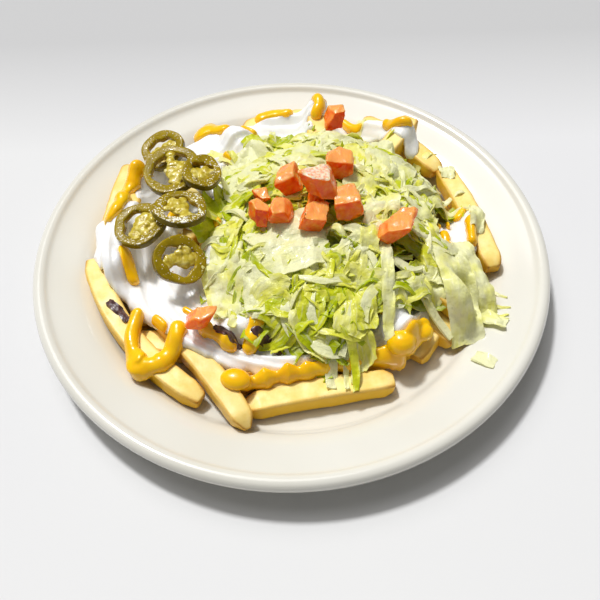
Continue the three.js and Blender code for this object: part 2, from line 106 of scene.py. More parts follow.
def add_node(tree, kind, inputs=(), stops=(), **settings):
    """A node with its settings. Inputs are a list in order or a dict by name. Each is a value, a hex colour,
    a socket, or a node that stands for its first output in use. Stops are places and colours on a ramp."""
    node = tree.nodes.new(kind)
    for name, value in settings.items():
        setattr(node, name, value)
    for name, value in inputs.items() if isinstance(inputs, dict) else enumerate(inputs):
        if isinstance(value, bpy.types.Node):
            value = next(socket for socket in value.outputs if socket.enabled)
        if isinstance(value, bpy.types.NodeSocket):
            tree.links.new(value, in_use(node.inputs, name))
        else:
            hex_colour = isinstance(value, str) and value.startswith("#")
            in_use(node.inputs, name).default_value = linear(value) if hex_colour else value
    for _ in stops[2:]:
        node.color_ramp.elements.new(0.5)
    for k, (place, colour) in enumerate(stops):
        node.color_ramp.elements[k].position = place
        node.color_ramp.elements[k].color = linear(colour)
    return node


def new_tree(name, **sizes):
    """A geometry tree with a geometry in and out, and a named input for each size."""
    kinds = {float: "NodeSocketFloat", int: "NodeSocketInt", type: "NodeSocketObject"}
    tree = bpy.data.node_groups.new(name, "GeometryNodeTree")
    tree.interface.new_socket("Geometry", in_out="INPUT", socket_type="NodeSocketGeometry")
    for label, value in sizes.items():
        socket = tree.interface.new_socket(label, in_out="INPUT", socket_type=kinds[type(value)])
        if value is not object:
            socket.default_value = value
    tree.interface.new_socket("Material", in_out="INPUT", socket_type="NodeSocketMaterial")
    tree.interface.new_socket("Geometry", in_out="OUTPUT", socket_type="NodeSocketGeometry")
    return tree, add_node(tree, "NodeGroupInput").outputs


def end_tree(tree, given, geometry):
    """The tree's end: instances made real, smooth shading and the material."""
    real = add_node(tree, "GeometryNodeRealizeInstances", {"Geometry": geometry})
    smooth = add_node(tree, "GeometryNodeSetShadeSmooth", {"Geometry": real})
    finished = add_node(tree, "GeometryNodeSetMaterial", {"Geometry": smooth, "Material": given["Material"]})
    add_node(tree, "NodeGroupOutput", {"Geometry": finished})
    return tree


def in_scene(name, data):
    """A new object in the scene, which holds a mesh, a lamp or a camera."""
    thing = bpy.data.objects.new(name, data)
    bpy.context.scene.collection.objects.link(thing)
    return thing


def store(mesh, values):
    """Stores a number at each point of a mesh, under each name in values."""
    for label, numbers in values.items():
        layer = mesh.attributes.new(label, "FLOAT", "POINT")
        layer.data.foreach_set("value", np.array(numbers, np.float32))


def mesh_object(name, points, faces=(), edges=(), values=None):
    """An object from points in millimetres, with the values that store takes."""
    mesh = bpy.data.meshes.new(name)
    mesh.from_pydata([[c * MM for c in p] for p in points], list(edges), list(faces))
    store(mesh, values or {})
    mesh.update()
    return in_scene(name, mesh)


def baked(thing):
    """Turns what an object's modifiers make of it into its own plain mesh."""
    bpy.context.view_layer.update()
    graph = bpy.context.evaluated_depsgraph_get()
    made = thing.evaluated_get(graph)
    mesh = bpy.data.meshes.new_from_object(made, preserve_all_data_layers=True, depsgraph=graph)
    thing.modifiers.clear()
    thing.data = mesh
    return thing


def grow(thing, tree, material, **values):
    """Gives an object a geometry tree as a modifier, with its named inputs set."""
    modifier = thing.modifiers.new(tree.name, "NODES")
    modifier.node_group = tree
    values["Material"] = material
    for item in tree.interface.items_tree:
        if item.item_type == "SOCKET" and item.in_out == "INPUT" and item.name in values:
            modifier[item.identifier] = values[item.name]


def remove(thing):
    bpy.data.objects.remove(thing, do_unlink=True)


def serve(piece, slot, *nodes):
    """The piece rides on the dish and stands for those CAD nodes, which are hidden. The slot is not used."""
    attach(piece, "root")
    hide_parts(*nodes)
    return piece


# Materials. Each starts from the real one and its usual values.
def material_of(finish):
    """A material named for a finish: a function that adds nodes to its tree and gives the shader."""
    material = bpy.data.materials.new(finish.__name__)
    material.use_nodes = True
    material.node_tree.nodes.clear()
    add_node(material.node_tree, "ShaderNodeOutputMaterial", {"Surface": finish(material.node_tree)})
    return material


def pattern(tree, size, detail=2.0, stretch=(1, 1, 1)):
    """Noise on the piece's own coordinates, whose blotches are size millimetres across."""
    place = add_node(tree, "ShaderNodeTexCoord").outputs["Object"]
    scale = [s / (size * MM) for s in stretch]
    scaled = add_node(tree, "ShaderNodeMapping", {"Vector": place, "Scale": scale})
    return add_node(tree, "ShaderNodeTexNoise", {"Vector": scaled, "Scale": 1.0, "Detail": detail})


def glazed_stoneware(tree):
    """Cream-white glazed stoneware, pressed and fired: a hard clear shine over a warm white. The foot is
    unglazed."""
    glaze = add_node(tree, "ShaderNodeValToRGB", {"Fac": pattern(tree, 60)},
                     stops=[(0.3, "#DDDACF"), (0.7, "#E2E0D7")])
    place = add_node(tree, "ShaderNodeTexCoord").outputs["Object"]
    height = add_node(tree, "ShaderNodeSeparateXYZ", {"Vector": place}).outputs["Z"]
    bare = add_node(tree, "ShaderNodeMapRange", {
        "Value": height, "From Min": 0.5 * MM, "From Max": 0.2 * MM})
    colour = add_node(tree, "ShaderNodeMix", {"Factor": bare, "A": glaze, "B": "#C1B9A7"}, data_type="RGBA")
    rough = add_node(tree, "ShaderNodeMapRange", {"Value": bare, "To Min": 0.16, "To Max": 0.7})
    ripple = add_node(tree, "ShaderNodeBump", {
        "Height": pattern(tree, 9, 1.0), "Distance": 0.05 * MM, "Strength": 0.6})
    return add_node(tree, "ShaderNodeBsdfPrincipled", {
        "Base Color": colour, "Roughness": rough, "IOR": 1.52, "Coat Weight": 0.35, "Coat Roughness": 0.08,
        "Normal": ripple,
    })


def fried_potato(tree):
    """Deep-fried potato: a pale gold starchy skin with a thin film of oil, painted shade that makes it
    deeper gold down its sides, and brown where edges and ends dried out."""
    worn, tone, upward = [add_node(tree, "ShaderNodeAttribute", attribute_name=name).outputs["Fac"]
                          for name in ("browned", "tone", "upward")]
    blotch = pattern(tree, 7, 3.0)
    grain = pattern(tree, 1.1)
    skin = add_node(tree, "ShaderNodeValToRGB", {"Fac": blotch},
                    stops=[(0.3, "#F4D474"), (0.52, "#FBE492"), (0.72, "#FDEDAA")])
    # Painted shade: faces that turn sideways or down, by the stored upward value, are painted a deeper gold
    flank = add_node(tree, "ShaderNodeMapRange", {"Value": upward, "From Min": 0.75, "From Max": 0.1})
    sided = add_node(tree, "ShaderNodeMix", {"Factor": flank, "A": skin, "B": "#EFBE2C"}, data_type="RGBA")
    depth = add_node(tree, "ShaderNodeMath", [tone, 0.4], operation="MULTIPLY")
    deeper = add_node(tree, "ShaderNodeMix", {"Factor": depth, "A": sided, "B": "#F0CA78"}, data_type="RGBA")
    mottle = add_node(tree, "ShaderNodeMath", [blotch, 0.55], operation="MULTIPLY")
    speckle = add_node(tree, "ShaderNodeMath", [grain, mottle, -0.18], operation="MULTIPLY_ADD")
    edge = add_node(tree, "ShaderNodeMath", [worn, speckle], operation="ADD")
    golden = add_node(tree, "ShaderNodeMapRange", {
        "Value": edge, "From Min": 0.16, "From Max": 0.6, "To Max": 0.45})
    dry = add_node(tree, "ShaderNodeMix", {"Factor": golden, "A": deeper, "B": "#E6B448"}, data_type="RGBA")
    brown = add_node(tree, "ShaderNodeMapRange", {"Value": edge, "From Min": 0.5, "From Max": 1.02})
    colour = add_node(tree, "ShaderNodeMix", {"Factor": brown, "A": dry, "B": "#BC8224"}, data_type="RGBA")
    height = add_node(tree, "ShaderNodeMath", [grain, 0.4, blotch], operation="MULTIPLY_ADD")
    rough_skin = add_node(tree, "ShaderNodeBump", {"Height": height, "Distance": 0.4 * MM, "Strength": 0.6})
    return add_node(tree, "ShaderNodeBsdfPrincipled", {
        "Base Color": colour, "Roughness": 0.42, "IOR": 1.4, "Specular IOR Level": 0.3,
        "Subsurface Weight": 0.12, "Subsurface Radius": [1.0, 0.6, 0.25], "Subsurface Scale": 1.2 * MM,
        "Coat Weight": 0.06, "Coat Roughness": 0.2, "Normal": rough_skin,
    })


def cheese_sauce(tree):
    """Warm processed cheese sauce: smooth, opaque and shiny, deep yellow with patches of a little more
    orange.
    """
    colour = add_node(tree, "ShaderNodeValToRGB", {"Fac": pattern(tree, 14)},
                      stops=[(0.3, "#FFBC02"), (0.7, "#FFCC0A")])
    folds = add_node(tree, "ShaderNodeBump", {
        "Height": pattern(tree, 4, 1.0), "Distance": 0.25 * MM, "Strength": 0.5})
    return add_node(tree, "ShaderNodeBsdfPrincipled", {
        "Base Color": colour, "Roughness": 0.22, "IOR": 1.46,
        "Subsurface Weight": 0.12, "Subsurface Radius": [1.0, 0.45, 0.05], "Subsurface Scale": 1.5 * MM,
        "Coat Weight": 0.3, "Coat Roughness": 0.06, "Normal": folds,
    })


def sour_cream(tree):
    """Thinned sour cream: pure white and softly shiny, like thick paint."""
    colour = add_node(tree, "ShaderNodeValToRGB", {"Fac": pattern(tree, 18)},
                      stops=[(0.3, "#FCFBF8"), (0.7, "#FFFFFD")])
    streaks = add_node(tree, "ShaderNodeBump", {
        "Height": pattern(tree, 5, 1.0), "Distance": 0.2 * MM, "Strength": 0.5})
    return add_node(tree, "ShaderNodeBsdfPrincipled", {
        "Base Color": colour, "Roughness": 0.3, "IOR": 1.45,
        "Subsurface Weight": 0.8, "Subsurface Radius": [1.0, 0.97, 0.92], "Subsurface Scale": 4.0 * MM,
        "Coat Weight": 0.2, "Coat Roughness": 0.15, "Normal": streaks,
    })


def seasoned_beef(tree):
    """Stewed seasoned beef: dark red-brown fibres, wet with gravy."""
    fibre = pattern(tree, 1.6, 3.0, (1, 0.35, 1))
    colour = add_node(tree, "ShaderNodeValToRGB", {"Fac": fibre},
                      stops=[(0.35, "#3A2024"), (0.6, "#5A3A38"), (0.75, "#6E4A40")])
    strands = add_node(tree, "ShaderNodeBump", {"Height": fibre, "Distance": 0.6 * MM})
    return add_node(tree, "ShaderNodeBsdfPrincipled", {
        "Base Color": colour, "Roughness": 0.4, "Coat Weight": 0.3, "Coat Roughness": 0.2, "Normal": strands,
    })


def pickled_pepper(tree):
    """Pickled jalapeno: dull olive skin, golden translucent flesh inside it, and wet cut faces with white
    specks of painted highlight where their fibres catch the light."""
    skin, cut, glint = [add_node(tree, "ShaderNodeAttribute", attribute_name=name).outputs["Fac"]
                        for name in ("skin", "cut", "glint")]
    blotch = pattern(tree, 5, 3.0)
    fibre = pattern(tree, 0.95)
    flesh = add_node(tree, "ShaderNodeValToRGB", {"Fac": blotch}, stops=[(0.3, "#94720A"), (0.7, "#BA9814")])
    rind = add_node(tree, "ShaderNodeValToRGB", {"Fac": blotch}, stops=[(0.3, "#5E5204"), (0.7, "#7E6E0C")])
    face = add_node(tree, "ShaderNodeValToRGB", {"Fac": blotch}, stops=[(0.3, "#847006"), (0.7, "#A68E10")])
    skinned = add_node(tree, "ShaderNodeMix", {"Factor": skin, "A": flesh, "B": rind}, data_type="RGBA")
    faced = add_node(tree, "ShaderNodeMix", {"Factor": cut, "A": skinned, "B": face}, data_type="RGBA")
    # Painted highlight: white specks on the cut faces, in wet patches and strongest on the glinting side,
    # stand in for light caught by the fibres
    wet = add_node(tree, "ShaderNodeMapRange", {
        "Value": blotch, "From Min": 0.35, "From Max": 0.55, "To Min": 0.3})
    shown = add_node(tree, "ShaderNodeMath", [glint, wet], operation="MULTIPLY")
    raised = add_node(tree, "ShaderNodeMath", [shown, 0.18, fibre], operation="MULTIPLY_ADD")
    amount = add_node(tree, "ShaderNodeMapRange", {"Value": raised, "From Min": 0.67, "From Max": 0.72})
    speck = add_node(tree, "ShaderNodeMath", [amount, cut], operation="MULTIPLY")
    colour = add_node(tree, "ShaderNodeMix", {"Factor": speck, "A": faced, "B": "#F4F3E2"}, data_type="RGBA")
    cells = add_node(tree, "ShaderNodeMath", [fibre, 0.7, blotch], operation="MULTIPLY_ADD")
    grain = add_node(tree, "ShaderNodeBump", {"Height": cells, "Distance": 0.3 * MM, "Strength": 0.8})
    return add_node(tree, "ShaderNodeBsdfPrincipled", {
        "Base Color": colour, "Roughness": 0.22, "IOR": 1.36, "Specular IOR Level": 0.3,
        "Subsurface Weight": 0.25, "Subsurface Radius": [0.9, 0.8, 0.1], "Subsurface Scale": 1.5 * MM,
        "Coat Weight": 0.15, "Coat Roughness": 0.05, "Normal": grain,
    })


def pepper_membrane(tree):
    """The seed rib of a pickled jalapeno: spongy, yellow-green and wet."""
    lump = pattern(tree, 2.4, 3.0)
    colour = add_node(tree, "ShaderNodeValToRGB", {"Fac": lump},
                      stops=[(0.3, "#A88C10"), (0.5, "#C8B434"), (0.7, "#E4D67C")])
    sponge = add_node(tree, "ShaderNodeBump", {"Height": lump, "Distance": 0.7 * MM})
    return add_node(tree, "ShaderNodeBsdfPrincipled", {
        "Base Color": colour, "Roughness": 0.32,
        "Subsurface Weight": 0.3, "Subsurface Radius": [1.0, 0.9, 0.3], "Subsurface Scale": 1.2 * MM,
        "Coat Weight": 0.4, "Coat Roughness": 0.12, "Normal": sponge,
    })


def pepper_seed(tree):
    """Jalapeno seeds: smooth flat discs, cream coloured."""
    colour = add_node(tree, "ShaderNodeValToRGB", {"Fac": pattern(tree, 2)},
                      stops=[(0.3, "#C9B869"), (0.7, "#E2D79A")])
    return add_node(tree, "ShaderNodeBsdfPrincipled", {
        "Base Color": colour, "Roughness": 0.3, "Coat Weight": 0.6, "Coat Roughness": 0.1,
    })


def iceberg_leaf(tree):
    """Iceberg lettuce: white ribs, pale yellow-green leaf with veins along it and bright green outer edges,
    all thin enough to let some light through."""
    tone = add_node(tree, "ShaderNodeAttribute", attribute_name="tone").outputs["Fac"]
    along_leaf = add_node(tree, "ShaderNodeAttribute", attribute_name="leaf_place").outputs["Vector"]
    stretched = add_node(tree, "ShaderNodeMapping", {"Vector": along_leaf, "Scale": (110.0, 620.0, 3.0)})
    vein = add_node(tree, "ShaderNodeTexNoise", {"Vector": stretched, "Scale": 1.0, "Detail": 2.0})
    shift = add_node(tree, "ShaderNodeMath", [pattern(tree, 11), 1.2, tone], operation="MULTIPLY_ADD")
    centred = add_node(tree, "ShaderNodeMath", [shift, 0.6], operation="SUBTRACT")
    leaf = add_node(tree, "ShaderNodeValToRGB", {"Fac": centred}, stops=[
        (0.0, "#FFFFD2"), (0.25, "#FFFDAC"), (0.5, "#FAF66C"), (0.75, "#E4E62C"), (1.0, "#C4D008")])
    streak = add_node(tree, "ShaderNodeMapRange", {
        "Value": vein, "From Min": 0.5, "From Max": 0.72, "To Max": 0.6})
    veined = add_node(tree, "ShaderNodeMix", {"Factor": streak, "A": leaf, "B": "#FFFCDE"}, data_type="RGBA")
    height = add_node(tree, "ShaderNodeMath", [pattern(tree, 2.6, 3.0), 1.6, vein], operation="MULTIPLY_ADD")
    wrinkles = add_node(tree, "ShaderNodeBump", {"Height": height, "Distance": 0.6 * MM, "Strength": 0.8})
    surface = add_node(tree, "ShaderNodeBsdfPrincipled", {
        "Base Color": veined, "Roughness": 0.3, "IOR": 1.36, "Coat Weight": 0.15, "Coat Roughness": 0.1,
        "Normal": wrinkles,
    })
    glow = add_node(tree, "ShaderNodeValToRGB", {"Fac": centred},
                    stops=[(0.0, "#FFFFE0"), (0.4, "#FCFF88"), (1.0, "#DCF018")])
    through = add_node(tree, "ShaderNodeBsdfTranslucent", {"Color": glow, "Normal": wrinkles})
    return add_node(tree, "ShaderNodeMixShader", [0.34, surface, through])


def ripe_tomato(tree):
    """Diced fresh tomato: wet orange-red flesh that glows a little, paler on top by painted light, a smooth
    redder skin and a pale core.
    """
    skin, core, upward = [add_node(tree, "ShaderNodeAttribute", attribute_name=name).outputs["Fac"]
                          for name in ("skin", "core", "upward")]
    fibre = pattern(tree, 3, 3.0, (1, 0.5, 1))
    flesh = add_node(tree, "ShaderNodeValToRGB", {"Fac": fibre},
                     stops=[(0.3, "#F25C08"), (0.55, "#FA7C10"), (0.78, "#FFA232")])
    # Painted light: faces that turn up are painted paler salmon, as if lit from above
    top = add_node(tree, "ShaderNodeMapRange", {
        "Value": upward, "From Min": 0.5, "From Max": 0.9, "To Max": 0.75})
    topped = add_node(tree, "ShaderNodeMix", {"Factor": top, "A": flesh, "B": "#FFB468"}, data_type="RGBA")
    sided = add_node(tree, "ShaderNodeMix", {"Factor": skin, "A": topped, "B": "#E84E06"}, data_type="RGBA")
    spongy = add_node(tree, "ShaderNodeValToRGB", {"Fac": pattern(tree, 1.5, 3.0)},
                      stops=[(0.35, "#F5A67C"), (0.6, "#FBE2C8")])
    colour = add_node(tree, "ShaderNodeMix", {"Factor": core, "A": sided, "B": spongy}, data_type="RGBA")
    fibrous = add_node(tree, "ShaderNodeBump", {"Height": fibre, "Distance": 0.7 * MM, "Strength": 0.9})
    return add_node(tree, "ShaderNodeBsdfPrincipled", {
        "Base Color": colour, "Roughness": 0.2, "IOR": 1.36,
        "Subsurface Weight": 0.75, "Subsurface Radius": [1.0, 0.45, 0.15], "Subsurface Scale": 5.0 * MM,
        "Coat Weight": 0.35, "Coat Roughness": 0.05, "Normal": fibrous,
    })


STONEWARE = material_of(glazed_stoneware)
POTATO = material_of(fried_potato)
CHEESE = material_of(cheese_sauce)
CREAM = material_of(sour_cream)
BEEF = material_of(seasoned_beef)
PEPPER = material_of(pickled_pepper)
MEMBRANE = material_of(pepper_membrane)
SEED = material_of(pepper_seed)
LEAF = material_of(iceberg_leaf)
TOMATO = material_of(ripe_tomato)


# The plate's section, from the axis out over the top and back under
UPPER_PROFILE = (
    (0, FLOOR_HEIGHT),
    (WELL_RADIUS, FLOOR_HEIGHT + 0.5),
    (RIM_START, 8.4),
    (104, 13.2),
    (110, 16.4),
    (125.6, 20.6),
    (127.6, 22.2),
    (130, RIM_HEIGHT),
    (132.4, 21.8),
)
LOWER_PROFILE = (
    (PLATE_RADIUS, 19.2),
    (133, 16.8),
    (130.5, 15.2),
    (127.5, 15.6),
    (108, 10.5),
    (96, 3.6),
    (FOOT_RADIUS + 2, 2.6),
    (FOOT_RADIUS, 0),
    (FOOT_RADIUS - 5, 0),
    (FOOT_RADIUS - 6, 2.2),
    (0, 2.2),
)


def plate_top(radius):
    """Height of the plate's upper surface."""
    if radius >= UPPER_PROFILE[-1][0]:
        return 0
    return float(np.interp(radius, *zip(*UPPER_PROFILE)))


def smooth_line(points, spacing):
    """Places about spacing apart on a centripetal Catmull-Rom line through points."""
    given = [np.array(p, float) for p in points]
    padded = [2 * given[0] - given[1], *given, 2 * given[-1] - given[-2]]
    line = []
    for p0, p1, p2, p3 in zip(padded, padded[1:], padded[2:], padded[3:]):
        t1 = math.sqrt(np.linalg.norm(p1 - p0))
        t2 = t1 + math.sqrt(np.linalg.norm(p2 - p1))
        t3 = t2 + math.sqrt(np.linalg.norm(p3 - p2))
        steps = max(2, round(np.linalg.norm(p2 - p1) / spacing))
        for t in np.linspace(t1, t2, steps, endpoint=False):
            a1 = p0 + (p1 - p0) * t / t1
            a2 = p1 + (p2 - p1) * (t - t1) / (t2 - t1)
            a3 = p2 + (p3 - p2) * (t - t2) / (t3 - t2)
            b1 = a1 + (a2 - a1) * t / t2
            b2 = a2 + (a3 - a2) * (t - t1) / (t3 - t1)
            line.append(b1 + (b2 - b1) * (t - t1) / (t2 - t1))
    return [*line, given[-1]]


def lathe_tree():
    """Turns a section drawn in X and Z, right of the axis, round the Z axis."""
    tree, given = new_tree("turned_round", Sides=96)
    section = add_node(tree, "GeometryNodeMeshToCurve", {"Mesh": given["Geometry"]})
    circle = add_node(tree, "GeometryNodeCurvePrimitiveCircle", {
        "Resolution": given["Sides"], "Radius": 1.0})
    apart = add_node(tree, "ShaderNodeSeparateXYZ", [add_node(tree, "GeometryNodeInputPosition")])
    outward = add_node(tree, "ShaderNodeMath", [apart.outputs["X"], 1.0], operation="SUBTRACT")
    down = add_node(tree, "ShaderNodeMath", [apart.outputs["Z"], -1.0], operation="MULTIPLY")
    flat = add_node(tree, "ShaderNodeCombineXYZ", {"X": outward, "Y": down})
    laid_out = add_node(tree, "GeometryNodeSetPosition", {"Geometry": section, "Position": flat})
    upright = add_node(tree, "GeometryNodeSetCurveNormal", {"Curve": circle}, mode="Z_UP")
    turned = add_node(tree, "GeometryNodeCurveToMesh", {"Curve": upright, "Profile Curve": laid_out})
    merged = add_node(tree, "GeometryNodeMergeByDistance", {"Geometry": turned, "Distance": MERGED})
    return end_tree(tree, given, merged)


# The floor rises a little on its way out. From the well's edge over the rim to the foot the line is smooth.
FLOOR_PROFILE = (UPPER_PROFILE[0], (40, FLOOR_HEIGHT + 0.2), (75, FLOOR_HEIGHT + 0.35))
SMOOTH_UNDER_RIM = 6
SECTION_STEP = 0.9
PLATE_SIDES = 192


def make_plate():
    """The plate as one closed shell, turned from its section."""
    rim = smooth_line(UPPER_PROFILE[1:] + LOWER_PROFILE[:SMOOTH_UNDER_RIM], SECTION_STEP)
    section = [*FLOOR_PROFILE, *rim, *LOWER_PROFILE[SMOOTH_UNDER_RIM:]]
    points = [(r, 0, z) for r, z in section]
    edges = [(k, k + 1) for k in range(len(points) - 1)]
    plate = mesh_object("plate_stoneware", points, edges=edges)
    grow(plate, lathe_tree(), STONEWARE, Sides=PLATE_SIDES)
    return serve(baked(plate), "glazed_plate", "plate")


plate = make_plate()

# Relief: the height of whatever lies uppermost, on a square grid over the plate
RELIEF_CELL = 2
RELIEF_HALF = 120
RELIEF_COUNT = 2 * RELIEF_HALF // RELIEF_CELL + 1


class Relief:
    """Heights that start as the plate's and rise with each fry that is laid."""

    def __init__(self):
        places = range(-RELIEF_HALF, RELIEF_HALF + 1, RELIEF_CELL)
        self.heights = [[plate_top(math.hypot(x, y)) + GAP for x in places] for y in places]

    def index(self, x, y):
        i = min(RELIEF_COUNT - 1, max(0, math.floor((x + RELIEF_HALF) / RELIEF_CELL + 0.5)))
        j = min(RELIEF_COUNT - 1, max(0, math.floor((y + RELIEF_HALF) / RELIEF_CELL + 0.5)))
        return i, j

    def at(self, x, y):
        i, j = self.index(x, y)
        return self.heights[j][i]

    def raise_to(self, x, y, z):
        i, j = self.index(x, y)
        self.heights[j][i] = max(self.heights[j][i], z)


relief = Relief()

# Fries: middle of the chord, heading in degrees, length and bow. The outer ones lie on the plate and the
# reaching ones on the mound, all where the diner sees them.
OUTER_FRIES = (
    dict(x=-73.5, y=-44, heading=-54, length=99, bow=-9),
    dict(x=12, y=-83, heading=9, length=70, bow=1),
    dict(x=95, y=18, heading=-77, length=72, bow=1.5),
    dict(x=-92.5, y=33, heading=-101, length=58, bow=-1),
    dict(x=-1, y=97, heading=6, length=48, bow=2),
    dict(x=64, y=74, heading=-45, length=56, bow=3),
)
REACHING_FRIES = (
    dict(x=-44, y=-71, heading=-54, length=74, bow=2, tip=0.3),
    dict(x=56, y=-38, heading=-38, length=58, bow=2),
    dict(x=44, y=-45, heading=-58, length=42, bow=0),
    dict(x=-23, y=80, heading=-26, length=62, bow=-2),
    dict(x=18, y=77, heading=88, length=54, bow=1),
    dict(x=52, y=62, heading=48, length=60, bow=-2),
    dict(x=-64, y=62, heading=42, length=56, bow=-2),
    dict(x=-86, y=6, heading=-96, length=54, bow=-2),
    dict(x=84, y=-16, heading=-62, length=50, bow=2),
)
MOUND_HEIGHT = 26
MOUND_REACH = 94

# How a fry comes to rest, and how far it counts as filled: near its ends it is narrower
STEEPEST_FRY = 0.3
REST_MARGIN = 3
REST_STEP = 2.5
REST_LINES = (-0.35, 0, 0.35)
LAID_STEP = 1.5
LAID_END = 0.42
LAID_END_WIDTH = 0.36
LAID_WIDTH = 0.48


def along_fry(fry, s, across):
    """The place on a fry at s along its chord from the middle, with a sideways offset."""
    angle = math.radians(fry["heading"])
    aside = fry["bow"] * (1 - 4 * (s / fry["length"]) ** 2) + across
    x = fry["x"] + s * math.cos(angle) - aside * math.sin(angle)
    y = fry["y"] + s * math.sin(angle) + aside * math.cos(angle)
    return x, y


def rested(fry, sink=FRY_SUNK):
    """A fry at rest on the line over its middle that joins the two highest supports, one to each side."""
    supports = []
    s = REST_MARGIN - fry["length"] / 2
    while s <= fry["length"] / 2 - REST_MARGIN:
        supports.append((s, max(relief.at(*along_fry(fry, s, a * FRY_WIDTH)) for a in REST_LINES)))
        s += REST_STEP
    best = -math.inf
    slope = 0
    for s, u in supports:
        for t, v in supports:
            if s > 0 or t <= 0:
                continue
            grade = (v - u) / (t - s)
            if u - grade * s > best:
                best, slope = u - grade * s, grade
    slope = max(-STEEPEST_FRY, min(STEEPEST_FRY, slope))
    return {**fry, "slope": slope, "under": max(z - slope * s for s, z in supports) - sink}


def laid(fry):
    """Raises the relief to a fry's upper side."""
    s = -fry["length"] / 2
    while s <= fry["length"] / 2:
        half = LAID_END_WIDTH if abs(s) > LAID_END * fry["length"] else LAID_WIDTH
        for a in np.arange(-1, 1.01, 0.25):
            x, y = along_fry(fry, s, a * half * FRY_WIDTH)
            relief.raise_to(x, y, fry["under"] + fry["slope"] * s + FRY_THICKNESS)
        s += LAID_STEP
    return fry


def mound_top(x, y):
    """Height of the fries buried in the pile."""
    away = min(1, math.hypot(x, y) / MOUND_REACH)
    return FLOOR_HEIGHT + 1 + (MOUND_HEIGHT - FLOOR_HEIGHT - 1) * (1 - away ** 2)


def lettuce_share(x, y):
    """How far out a place is in the ellipse that the lettuce covers."""
    return np.hypot((x - LETTUCE_CENTRE[0]) / LETTUCE_REACH[0], (y - LETTUCE_CENTRE[1]) / LETTUCE_REACH[1])


SURFACE_FRY_COUNT = 30
SURFACE_FRY_REACH = 74
UNDER_LETTUCE = 0.62
HEADINGS_TRIED = 6
SLOPE_COST = 20
OVER_RIM_COST = 40
TALLEST_LIFT = 6


def surface_fries():
    """Fries on the mound; each takes the heading, of a few, in which it lies lowest."""
    random = random_stream(11)
    fries = []
    for k in range(SURFACE_FRY_COUNT):
        radius = SURFACE_FRY_REACH * math.sqrt((k + 0.5) / SURFACE_FRY_COUNT)
        x, y = radius * math.cos(k * GOLDEN_ANGLE + 1), radius * math.sin(k * GOLDEN_ANGLE + 1)
        length, bow, first = random(50, 74), random(-3, 3), random(0, 180)
        if lettuce_share(x, y) < UNDER_LETTUCE:
            continue
        lowest = None
        for h in range(HEADINGS_TRIED):
            fry = rested(dict(x=x, y=y, length=length, bow=bow, heading=first + h * 180 / HEADINGS_TRIED))
            over_rim = any(math.hypot(*along_fry(fry, e * length, 0)) > RIM_START for e in (-0.5, 0.5))
            height = fry["under"] + SLOPE_COST * abs(fry["slope"]) + (OVER_RIM_COST if over_rim else 0)
            if lowest is None or height < lowest["height"]:
                lowest = {**fry, "height": height}
        if lowest["height"] < mound_top(x, y) + TALLEST_LIFT:
            fries.append(laid(lowest))
    return fries


# Towards the edge of the mound the buried fries lie round it, and none lies on the rising rim
BURIED_FRY_COUNT = 64
BURIED_FRY_REACH = 84
BURIED_DEPTH = 9
LAID_ROUND_FROM = 55
LAID_ROUND_SPREAD = 35
HIGHEST_FLOOR = 8


def buried_fries():
    """Fries half sunk in the mound, which fill the gaps between the ones on it."""
    random = random_stream(29)
    fries = []
    for k in range(BURIED_FRY_COUNT):
        radius = BURIED_FRY_REACH * math.sqrt((k + 0.5) / BURIED_FRY_COUNT)
        x, y = radius * math.cos(k * GOLDEN_ANGLE), radius * math.sin(k * GOLDEN_ANGLE)
        fry = dict(x=x, y=y, length=random(40, 58), bow=random(-2, 2), heading=random(0, 180), slope=0)
        if radius > LAID_ROUND_FROM:
            spread = random(-LAID_ROUND_SPREAD, LAID_ROUND_SPREAD)
            fry["heading"] = math.degrees(k * GOLDEN_ANGLE) + 90 + spread
        floor = max(plate_top(math.hypot(*along_fry(fry, e * fry["length"], 0))) for e in (-0.5, 0, 0.5))
        fry["under"] = max(mound_top(x, y) - BURIED_DEPTH + random(-1.5, 1), floor + GAP)
        if fry["under"] < mound_top(x, y) and floor < HIGHEST_FLOOR:
            fries.append(fry)
    return fries


fry_pile = [laid(rested(fry, 0)) for fry in OUTER_FRIES]
for x in range(-MOUND_REACH, MOUND_REACH + 1, RELIEF_CELL):
    for y in range(-MOUND_REACH, MOUND_REACH + 1, RELIEF_CELL):
        if math.hypot(x, y) < MOUND_REACH:
            relief.raise_to(x, y, mound_top(x, y))
fry_pile += [laid(rested(fry)) for fry in REACHING_FRIES]
fry_pile += surface_fries()
fry_pile += buried_fries()

# A fry's size along its length, as shares of its length and of its full section
FRY_STATIONS = (0, 0.07, 0.36, 0.64, 0.93, 1)
FRY_TAPER = (0.7, 0.95, 1, 0.97, 0.93, 0.64)
FRY_STEP = 1.8
FEWEST_STEPS = 8
SWELL_LENGTH = 9

# Each end is blunt with a rounded edge, drawn by three more stations, and browns over its last millimetres
END_ROUNDING = 1.1
END_STATIONS = (0, 0.12, 0.45)
END_SIZE = 0.82
END_SWELL = 0.18
BROWNED_LENGTH = 7


